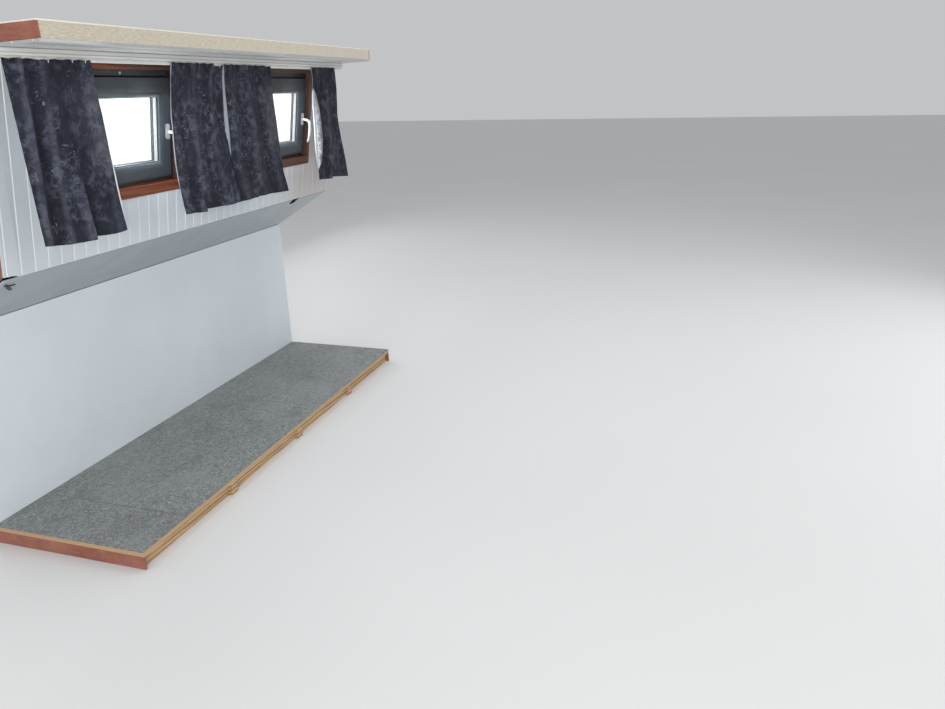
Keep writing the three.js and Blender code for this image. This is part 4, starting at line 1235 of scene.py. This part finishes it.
    # outside: screws through the flange, and a fillet of sealant round it
    b = Build()
    fu, f0, f1 = WIN_W / 2 + 0.0015, -0.0015, HEAD_V + 0.0015
    spots = [(u, v) for v in (f0, f1) for u in np.linspace(-fu, fu, 6)] + [(u, v) for u in (-fu, fu) for v in np.linspace(f0, f1, 5)[1:-1]]
    for i, (u, v) in enumerate(spots):
        b.screw(place(float(u), 0.0745, float(v)), OUT, 0.0048, 0.0018, i * 0.7)
    piece(b.object(w + "flange_screws", M["zinc"]), "root")
    ring_piece(w + "sealant", k, "root", M["rubber"], (-WIN_W / 2 - 0.012, WIN_W / 2 + 0.012, -0.012, HEAD_V + 0.012),
               [(-0.0002, 0.0700), (0.0042, 0.0700), (0.0036, 0.0710), (0.0018, 0.0726), (-0.0002, 0.0736)])

# ---------------------------------------------------------------- details of the steelwork and the panel
b = Build()
ends = (-HALF + 0.001, HALF - 0.001)


def along(y, z, a, c, r, seed):
    b.bead([(ends[0], y, z), (ends[1], y, z)], a, c, r, seed=seed)


along(wall(1.195) + 0.0700 / math.cos(LEAN) + 0.0003, 1.1950, (0, 1, 0), tuple(UP), 0.0050, 3)
along(HULL_IN - 0.0002, 1.1812, (0, -1, 0), (0, 0, 1), 0.0050, 4)
along(HULL_IN + HULL_T, 1.1780, (0, 1, 0), (0, 0, 1), 0.0052, 5)
along(HULL_IN + HULL_T, 0.9680, (0, 1, 0), (0, 0, -1), 0.0052, 6)
along(HULL_IN - 0.0001, 1.2922, (0, -1, 0), (0, 0, -1), 0.0036, 7)
along(HULL_IN + HULL_T + 0.0001, 1.2922, (0, 1, 0), (0, 0, -1), 0.0036, 8)
# a ground butt weld across the hull plate, above and below the rubbing band
for z0, z1, seed in ((0.004, 0.962, 9), (1.184, 1.288, 10)):
    rng = np.random.default_rng(seed)
    n = int((z1 - z0) / 0.004)
    jog = wander(rng, n + 1, max(4, n // 12)) * 0.0008
    b.sweep([(0.31 + float(jog[i]), HULL_IN + HULL_T, z0 + (z1 - z0) * i / n) for i in range(n + 1)],
            [[(-0.0004, -0.0052), (0.0009 + 0.0003 * (i % 2), -0.0030), (0.0014 + 0.0003 * (i % 2), 0.0), (0.0009 + 0.0003 * (i % 2), 0.0030), (-0.0004, 0.0052)]
             for i in range(n + 1)])
piece(b.object("weld_beads", M["weld"]), "root")
# a black cable clip left on the sloping panel near the aft cut
a0, a1 = Vector((0, Y_LIP + 0.006, Z_LIP - 0.0044)), Vector((0, Y_LOW, Z_LOW))
sl = (a1 - a0).normalized()
pn = sl.cross(Vector((1, 0, 0))).normalized()
if pn.z > 0:
    pn = -pn


def on_panel(x, along_slope, off):
    return a0 + sl * along_slope + pn * off + Vector((x, 0, 0))


b = Build()
b.strip([on_panel(-1.2130, 0.0400, 0.0030), on_panel(-1.1950, 0.0600, 0.0034), on_panel(-1.1700, 0.0860, 0.0036), on_panel(-1.1500, 0.1060, 0.0030)], 0.012, 0.0050)
b.strip([on_panel(-1.2060, 0.0500, 0.0030), on_panel(-1.1850, 0.0420, 0.0080), on_panel(-1.1700, 0.0480, 0.0060)], 0.006, 0.0040)
piece(b.object("cable_clip", M["black"]), "root")

# ---------------------------------------------------------------- curtains
SX = 0.0020  # spacing of the cloth's columns
ROWS = 124
Z_HEM = 1.2780
HEAD_Y = RAIL_Y - 0.0175  # the heading stands in front of the track
FLAT_Y = RAIL_Y - 0.0030  # the plane in which the edges below were measured, from the point SEEN_FROM
SEEN_FROM = (-3.260, -2.443)


def at(points, z):
    return float(np.interp(z, [p[0] for p in points][::-1], [p[1] for p in points][::-1]))


def carried(x, y):
    """An edge measured in the plane FLAT_Y, carried along its line of sight to where the cloth really is."""
    return x + (y - FLAT_Y) * (x - SEEN_FROM[0]) / (FLAT_Y - SEEN_FROM[1])


# top: height of the heading. left, right: (height, x) of the edges. laps: share of the width where a layer
# passes behind the one on its left, at the heading and at the hem, overlap, depth, height where it starts.
# folds: share at the heading and at the hem, half width, depth outboard at the heading and at the hem.
# hem: (share, height) of the lower edge. sag: the heading between two hooks that has dropped, as (x, half
# width, drop). lean_l, lean_r: how far the edges stand outboard, by height. line_l, line_r: how far the
# lining shows past the cloth. flap: width of the edge that is rolled back toward the room, by height.
CURTAINS = {
    "curtain_1_left": dict(
        k=1, seed=11, top=1.9095, over=(3, 5, 6),
        left=[(1.9095, -1.2265), (1.70, -1.222), (1.50, -1.218), (1.276, -1.213)],
        right=[(1.9095, -0.8415), (1.886, -0.8405), (1.782, -0.8360), (1.716, -0.8305), (1.620, -0.8275), (1.532, -0.8255), (1.452, -0.8230),
               (1.398, -0.8195), (1.344, -0.8145), (1.276, -0.8067)],
        laps=[(0.66, 0.590, 0.011, 0.022, 1.60)],
        bend=1.6,
        folds=[(0.055, -0.07, 0.045, 0.004, 0.006), (0.185, 0.050, 0.044, -0.012, -0.012), (0.290, 0.158, 0.044, 0.015, 0.015),
               (0.405, 0.285, 0.056, -0.009, -0.009), (0.475, 0.43, 0.030, -0.003, -0.002), (0.57, 0.610, 0.052, 0.011, 0.006),
               (0.71, 0.77, 0.040, -0.004, -0.005), (0.80, 0.84, 0.035, 0.003, 0.003), (0.92, 0.93, 0.060, -0.005, -0.004)],
        hem=[(0.0, 1.290), (0.18, 1.282), (0.40, 1.274), (0.579, 1.270), (0.601, 1.280), (0.85, 1.275), (1.0, 1.278)],
        sag=[(-1.0745, 0.030, 0.003)], lean_l=[(1.9, 0.0), (1.2, 0.0)], lean_r=[(1.9, 0.0), (1.2, 0.0)],
        line_l=[(1.9095, -0.006), (1.276, -0.006)],
        line_r=[(1.9095, -0.004), (1.60, -0.004), (1.54, 0.004), (1.50, 0.007), (1.38, 0.007), (1.31, -0.002), (1.276, -0.004)],
    ),
    "curtain_1_right": dict(
        k=1, seed=23, top=1.9135, over=(5, 6), lining="edge_lining",
        left=[(1.9135, -0.3765), (1.905, -0.3797), (1.862, -0.3955), (1.802, -0.4105), (1.718, -0.4275), (1.694, -0.4319), (1.626, -0.4368),
              (1.567, -0.4440), (1.482, -0.4485), (1.430, -0.4475), (1.395, -0.4480), (1.341, -0.4425), (1.276, -0.4344)],
        right=[(1.9135, -0.0120), (1.904, -0.0180), (1.887, -0.0275), (1.841, -0.0395), (1.796, -0.0425), (1.728, -0.0528), (1.679, -0.0600),
               (1.618, -0.0620), (1.592, -0.0574), (1.551, -0.0480), (1.508, -0.0440), (1.470, -0.0300), (1.430, -0.0150), (1.274, 0.0235)],
        laps=[(0.36, 0.325, 0.009, 0.018, 1.38)],
        folds=[(0.06, 0.05, 0.045, -0.005, -0.004), (0.19, 0.17, 0.055, 0.008, 0.007), (0.40, 0.36, 0.060, -0.009, -0.007),
               (0.60, 0.55, 0.060, 0.010, 0.007), (0.76, 0.71, 0.045, -0.006, -0.006), (0.91, 0.88, 0.050, 0.007, 0.005)],
        hem=[(0.0, 1.279), (0.17, 1.275), (0.314, 1.270), (0.336, 1.278), (0.77, 1.271), (1.0, 1.275)],
        sag=[(-0.0735, 0.036, 0.010)], lean_l=[(1.9, 0.0), (1.2, 0.0)],
        lean_r=[(1.9135, 0.0), (1.54, 0.0), (1.46, 0.004), (1.276, 0.004)],
        line_l=[(1.9135, 0.012), (1.880, 0.009), (1.858, 0.006), (1.80, 0.006), (1.72, 0.006), (1.694, 0.007), (1.627, 0.0075), (1.568, 0.0075), (1.483, 0.0080),
                (1.431, 0.0080), (1.395, 0.004), (1.36, 0.003), (1.276, 0.000)],
        line_r=[(1.9135, -0.010), (1.276, -0.010)],
    ),
    "curtain_2_left": dict(
        k=2, seed=37, top=1.9125, lining="gap_lining",
        left=[(1.9125, -0.0036), (1.905, -0.0043), (1.887, -0.0075), (1.841, -0.0148), (1.782, -0.0195), (1.727, -0.0210), (1.677, -0.0233),
              (1.635, -0.0247), (1.588, -0.0275), (1.550, -0.0330), (1.507, -0.0371), (1.470, -0.0365), (1.430, -0.0255), (1.276, 0.0146)],
        right=[(1.9125, 0.4059), (1.891, 0.4030), (1.842, 0.4005), (1.792, 0.3975), (1.761, 0.3989), (1.690, 0.4046), (1.627, 0.4095), (1.586, 0.4095),
               (1.533, 0.4125), (1.480, 0.4160), (1.427, 0.4190), (1.365, 0.4300), (1.325, 0.4460), (1.276, 0.4597)],
        laps=[(0.35, 0.330, 0.003, 0.010, 1.34)],
        folds=[(0.11, 0.09, 0.050, -0.006, -0.005), (0.28, 0.26, 0.060, 0.008, 0.007), (0.47, 0.48, 0.060, -0.008, -0.006),
               (0.68, 0.67, 0.055, 0.009, 0.006), (0.84, 0.83, 0.040, -0.005, -0.005), (0.96, 0.96, 0.040, 0.003, 0.003)],
        hem=[(0.0, 1.277), (0.310, 1.274), (0.350, 1.277), (0.585, 1.276), (1.0, 1.268)],
        sag=[(0.351, 0.022, 0.004)], lean_l=[(1.9125, 0.0), (1.54, 0.0), (1.46, -0.003), (1.276, -0.003)], lean_r=[(1.9, 0.0), (1.2, 0.0)],
        line_l=[(1.9125, 0.008), (1.887, 0.012), (1.841, 0.018), (1.782, 0.021), (1.727, 0.026), (1.677, 0.030), (1.635, 0.030), (1.588, 0.022),
                (1.550, 0.008), (1.507, -0.004), (1.46, -0.012), (1.276, -0.012)],
        line_r=[(1.9125, -0.004), (1.276, -0.004)],
    ),
    "curtain_2_right": dict(
        k=2, seed=53, top=1.9135, lining="flap",
        left=[(1.9135, 0.8476), (1.871, 0.8500), (1.840, 0.8485), (1.770, 0.8356), (1.700, 0.8240), (1.629, 0.8225), (1.556, 0.8190), (1.484, 0.8125),
              (1.421, 0.8120), (1.360, 0.8215), (1.276, 0.8210)],
        right=[(1.9135, 1.1335), (1.865, 1.1377), (1.791, 1.1400), (1.716, 1.1330), (1.651, 1.1255), (1.600, 1.1292), (1.558, 1.1390), (1.496, 1.1530),
               (1.442, 1.1710), (1.376, 1.1900), (1.306, 1.2030), (1.267, 1.2093)],
        laps=[(0.46, 0.430, 0.007, 0.014, 1.36)],
        folds=[(0.30, 0.27, 0.080, 0.007, 0.007), (0.55, 0.52, 0.070, -0.006, -0.006), (0.80, 0.80, 0.070, 0.006, 0.006)],
        hem=[(0.0, 1.287), (0.20, 1.280), (0.419, 1.275), (0.441, 1.284), (0.70, 1.276), (1.0, 1.267)],
        sag=[], lean_l=[(1.9, 0.0), (1.2, 0.0)], lean_r=[(1.9, 0.0), (1.2, 0.0)],
        line_l=[(1.9135, 0.0), (1.276, 0.0)], line_r=[(1.9135, -0.004), (1.276, -0.004)],
        flap=[(1.9135, 0.0020), (1.83, 0.0025), (1.79, 0.007), (1.74, 0.038), (1.68, 0.068), (1.60, 0.088), (1.50, 0.094), (1.43, 0.074),
              (1.38, 0.036), (1.34, 0.007), (1.31, 0.0025), (1.276, 0.0020)],
    ),
}


def curtain_shape(spec):
    """Dense rows of the cloth, (ROWS, DENSE, 3), left to right."""
    rng = np.random.default_rng(spec["seed"])
    dense = 900
    t = np.linspace(0, 1, dense)
    top = spec["top"]
    nf, nl = len(spec["folds"]), len(spec["laps"])
    drift = [wander(rng, ROWS, 6) for _ in range(nf + nl)]
    swell = [wander(rng, ROWS, 5) for _ in range(nf + nl)]
    broad = [wander(rng, dense, 9) for _ in range(4)]
    fine = [wander(rng, dense, 22) for _ in range(4)]
    hem_line = wander(rng, dense, 8) * 0.0014 + wander(rng, dense, 20) * 0.0006
    width = at(spec["right"], 1.9) - at(spec["left"], 1.9)
    pleats = width / 0.048
    warp = wander(rng, dense, 12) * 0.9
    pamp = 1 + 0.6 * wander(rng, dense, 14)
    hooks = width / 0.055
    hem_z = np.interp(t, [p[0] for p in spec["hem"]], [p[1] for p in spec["hem"]]) - Z_HEM
    near_l, near_r = np.exp(-((t / 0.075) ** 2)), np.exp(-(((1 - t) / 0.075) ** 2))
    out = np.empty((ROWS, dense, 3))
    for r in range(ROWS):
        v = r / (ROWS - 1)
        z = top + (Z_HEM - top) * v
        depth = top - z
        xl, xr = at(spec["left"], z), at(spec["right"], z)
        x = xl + (xr - xl) * t
        y = np.zeros(dense)
        grow = 0.55 + 0.45 * float(step(depth, 0.02, 0.30))
        i = 0
        for hi, low, half, d0, d1 in spec["folds"]:
            c = low + (hi - low) * (1 - v) ** spec.get("bend", 1.0) + 0.008 * drift[i][r]
            d = d0 + (d1 - d0) * v
            y += d * grow * (1 + 0.25 * swell[i][r]) * np.exp(-(((t - c) / half) ** 2))
            i += 1
        for hi, low, over, d, z0 in spec["laps"]:
            c = hi + (low - hi) * v + 0.004 * drift[i][r] * (1 - v)
            g = 1.0 - float(step(z, 1.30, z0))
            sigma = 0.026
            tau = (t - c) / sigma
            x += -2.35 * over * g * tau * np.exp(-(tau**2))
            y += d * g * ((0.5 + 0.5 * np.tanh(tau * 1.5)) * np.exp(-((np.clip(t - c, 0, 1) / 0.20) ** 2)) - 0.35 * np.exp(-(((t - c + 0.045) / 0.06) ** 2)))
            i += 1
        y += at(spec["lean_l"], z) * np.exp(-((t / 0.16) ** 2)) + at(spec["lean_r"], z) * np.exp(-(((1 - t) / 0.16) ** 2))
        q = v * 3
        j = min(2, int(q))
        f = q - j
        f = f * f * (3 - 2 * f)
        y += 0.0022 * grow * (broad[j] * (1 - f) + broad[j + 1] * f)
        y += 0.0004 * (fine[j] * (1 - f) + fine[j + 1] * f)
        # heading: soft gathers on the tape, dying away below it
        head = math.exp(-((max(0.0, depth - 0.020) / 0.045) ** 2))
        ph = 2 * math.pi * (pleats * t + warp * (1.2 - 0.6 * head))
        y += (0.0012 * head + 0.0005 * math.exp(-((depth - 0.09) / 0.07) ** 2)) * pamp * np.sin(ph)
        # two rows of the tape's stitching pull the cloth in a little
        y += 0.0006 * (math.exp(-(((depth - 0.009) / 0.0022) ** 2)) + math.exp(-(((depth - 0.031) / 0.0022) ** 2)))
        base = FLAT_Y + (HEAD_Y - FLAT_Y) * math.exp(-((depth / 0.055) ** 2))
        x = carried(x, base) + (y[0] * near_l * (xl - SEEN_FROM[0]) + y[-1] * near_r * (xr - SEEN_FROM[0])) / (FLAT_Y - SEEN_FROM[1])
        y += base
        # the hem is turned up 45 mm: it stands a hair proud, with the stitch line pulled in
        up = (top - Z_HEM) - depth
        y += -0.0005 * float(step(up, 0.047, 0.043)) + 0.0007 * math.exp(-(((up - 0.044) / 0.0020) ** 2))
        scallop = -0.0030 * (0.5 - 0.5 * np.cos(2 * math.pi * hooks * t)) * (0.6 + 0.4 * pamp)
        for sx, half, drop in spec["sag"]:
            scallop = scallop - drop * np.exp(-(((x - sx) / half) ** 4))
        zz = z + scallop * math.exp(-((depth / 0.060) ** 2)) + (hem_z + hem_line) * v**3
        out[r, :, 0], out[r, :, 1], out[r, :, 2] = x, y, zz
    return out


def resample(rows, cols):
    out, lengths = [], []
    for row in rows:
        seg = np.hypot(np.diff(row[:, 0]), np.diff(row[:, 1]))
        s = np.concatenate([[0], np.cumsum(seg)])
        q = np.linspace(0, s[-1], cols)
        out.append(np.stack([np.interp(q, s, row[:, i]) for i in range(3)], 1))
        lengths.append(s[-1])
    return np.array(out), float(np.mean(lengths))


def blur(a, sigma, axis):
    n = int(3 * sigma) + 1
    k = np.exp(-(np.arange(-n, n + 1) ** 2) / (2 * sigma**2))
    k /= k.sum()
    pad = [(0, 0)] * a.ndim
    pad[axis] = (n, n)
    b = np.pad(a, pad, mode="edge")
    return np.apply_along_axis(lambda m: np.convolve(m, k, "valid"), axis, b)


def lining_shape(rows, spec, cols):
    """The lining hangs just outboard of the cloth, over its outermost layer, and shows past its edges. Where
    the edge is rolled back, it comes round in front of the cloth. Returns the rows and the mean width."""
    n = rows.shape[0]
    out = np.empty((n, cols, 3))
    for r in range(n):
        z = float(rows[r, :, 2].mean())
        xl = carried(at(spec["left"], z) - at(spec["line_l"], z), rows[r, 0, 1] + 0.0030)
        xr = carried(at(spec["right"], z) + at(spec["line_r"], z), rows[r, -1, 1] + 0.0030)
        xs = np.linspace(xl, xr, cols)
        near = np.abs(rows[r, None, :, 0] - xs[:, None]) <= 0.007
        y = np.where(near, rows[r, None, :, 1], -9).max(1)
        lost = y < -1
        if lost.any():
            y[lost] = np.interp(xs[lost], xs[~lost], y[~lost])
        out[r, :, 0] = xs
        out[r, :, 1] = y
        out[r, :, 2] = np.interp(xs, np.sort(rows[r, :, 0]), rows[r, np.argsort(rows[r, :, 0]), 2])
    out[:, :, 1] = blur(blur(out[:, :, 1], 1.6, 1), 1.2, 0) + 0.0026
    v = np.linspace(0, 1, n)[:, None]
    out[:, :, 2] = blur(out[:, :, 2], 2.0, 1) + 0.008 * v**2 - 0.0015 * (1 - v) ** 8
    if "flap" in spec:
        rng = np.random.default_rng(spec["seed"] + 1)
        ragged = wander(rng, n, 14) * 0.0042 + wander(rng, n, 34) * 0.0018
        nf, na = 22, 8
        front = np.empty((n, nf + na, 3))
        for r in range(n):
            z = float(rows[r, :, 2].mean())
            edge = float(rows[r, 0, 0])
            w = at(spec["flap"], z)
            w += ragged[r] * min(1.0, w / 0.02)
            # where it isn't rolled back, the edge is a narrow hem turned in behind the cloth
            g, full = float(step(w, 0.003, 0.010)), min(1.0, w / 0.02)
            edge += 0.0045 * (1 - g)
            xs = np.linspace(edge + w, edge, nf)
            near = np.abs(rows[r, None, :, 0] - xs[:, None]) <= 0.006
            yf = np.where(near, rows[r, None, :, 1], 9).min(1)
            s = np.linspace(0, 1, nf)
            front[r, :nf, 0] = xs
            yf = yf - 0.0022 - full * (0.0016 + 0.0050 * np.sin(math.pi * (0.15 + 0.70 * s)))
            front[r, :nf, 1] = g * yf + (1 - g) * (out[r, 0, 1] - 0.0010)
            back = out[r, 0]
            y0, y1 = front[r, nf - 1, 1], back[1]
            a = np.linspace(0, math.pi, na + 2)[1:-1]
            front[r, nf:, 0] = edge - (0.0004 + 0.0048 * g * full) * np.sin(a)
            front[r, nf:, 1] = (y0 + y1) / 2 - (y1 - y0) / 2 * np.cos(a)
            front[r, :, 2] = np.interp(front[r, :, 0], rows[r, :80, 0], rows[r, :80, 2]) + 0.008 * (r / (n - 1)) ** 2
            out[r, 0, 0] = edge
        front[:, :nf, 1] = blur(blur(front[:, :nf, 1], 1.2, 1), 1.6, 0)
        out = np.concatenate([front, out], 1)
    seg = np.hypot(np.diff(out[:, :, 0], axis=1), np.diff(out[:, :, 1], axis=1))
    return out, float(seg.sum(1).mean())


def grid_mesh(name, rows, flat_w, spec, thick, material):
    n, c = rows.shape[:2]
    idx = np.arange(n * c).reshape(n, c)
    faces = np.stack([idx[:-1, :-1], idx[1:, :-1], idx[1:, 1:], idx[:-1, 1:]], -1).reshape(-1, 4)
    u = np.linspace(0, flat_w, c)[None, :].repeat(n, 0) + spec["seed"] * 0.37
    vv = np.linspace(0, Z_HEM - spec["top"], n)[:, None].repeat(c, 1)
    o = new_object(name, rows.reshape(-1, 3), faces, material, uvs=np.stack([u, vv], -1).reshape(-1, 2))
    # how far each point stands out of or sinks into the run of the cloth, 1 on a ridge, 0 in a valley: it paints light
    # on the ridges and shade in the valleys
    fall = blur(rows[:, :, 1], 0.055 / SX, 1) - blur(rows[:, :, 1], 3.0, 1)
    fold_shading = o.data.attributes.new("fold_shading", "FLOAT", "POINT")
    fold_shading.data.foreach_set("value", np.clip(0.5 + fall / 0.017, 0, 1).reshape(-1).astype(np.float32))
    sol = o.modifiers.new("thick", "SOLIDIFY")
    sol.thickness = thick
    sol.offset = 0
    sol.use_rim = True
    apply_modifiers(o)
    o.data.polygons.foreach_set("use_smooth", [True] * len(o.data.polygons))
    return o


def make_curtain(name, spec):
    shape = curtain_shape(spec)
    width = at(spec["right"], 1.9) - at(spec["left"], 1.9)
    rows, flat_w = resample(shape, int(width * 1.12 / SX))
    cloth = grid_mesh(name + "_cloth", rows, flat_w, spec, 0.0010, M["curtain"])
    lin_rows, lin_w = lining_shape(shape, spec, int(width / 0.0045))
    lining = grid_mesh(name + "_lining", lin_rows, lin_w, spec, 0.0005, M[spec.get("lining", "lining_cloth")])
    # white nylon hooks: they grip the heading, slant up across the gap and lie over the track's shoulder
    n = int(round(width / 0.055))
    hooks, gliders = Build(), Build()
    x0, x1 = float(shape[0, 0, 0]), float(shape[0, -1, 0])
    for i in range(n):
        x = x0 + (x1 - x0) * (i + 0.5 - 0.06 * (i % 2)) / n
        row = shape[3]
        zc = float(np.interp(x, shape[0][:, 0], shape[0][:, 2]))
        yc = float(np.interp(x, row[:, 0], row[:, 1]))
        lean = 0.0052 + 0.0028 * math.sin(i * 2.3 + spec["seed"])
        over = -0.0050 if i in spec.get("over", ()) else 0.0  # a few hooks have slipped and grip the heading from the front
        path = [(x - 0.6 * lean, yc + 0.0026 + over, zc - 0.0080), (x - 0.2 * lean, yc + 0.0028 + over, zc - 0.0006), (x, yc + 0.0034 + 0.6 * over, zc + 0.0016),
                (x + 0.4 * lean, -0.2548, max(zc + 0.0016, TRACK_HI + 0.0008)), (x + lean, -0.2512, TRACK_HI + 0.0020),
                (x + 1.4 * lean, TRACK_Y - 0.0030, TRACK_HI + 0.0018)]
        hooks.strip(path, 0.0036, 0.0012)
        ring_z = TRACK_LO - 0.0062
        gliders.ring((x, TRACK_Y, ring_z), (0, 1, 0), 0.0036, 0.0010)
        gliders.tube([(x, TRACK_Y, ring_z + 0.0034), (x, TRACK_Y, TRACK_LO + 0.0040)], 0.0013)
        gliders.tube([(x, TRACK_Y, ring_z - 0.0034), (x, TRACK_Y - 0.004, ring_z - 0.0046), (x, yc + 0.0032, ring_z - 0.0040)], 0.0009)
    hook_o = piece(hooks.object(name + "_hooks", M["track"]), "root")
    glide_o = piece(gliders.object(name + "_gliders", M["track"]), "root")
    for o in (cloth, lining):
        piece(o, "root")
    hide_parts(name)
    for o in (cloth, lining, hook_o, glide_o):
        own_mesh(o)


for cname, spec in CURTAINS.items():
    make_curtain(cname, spec)
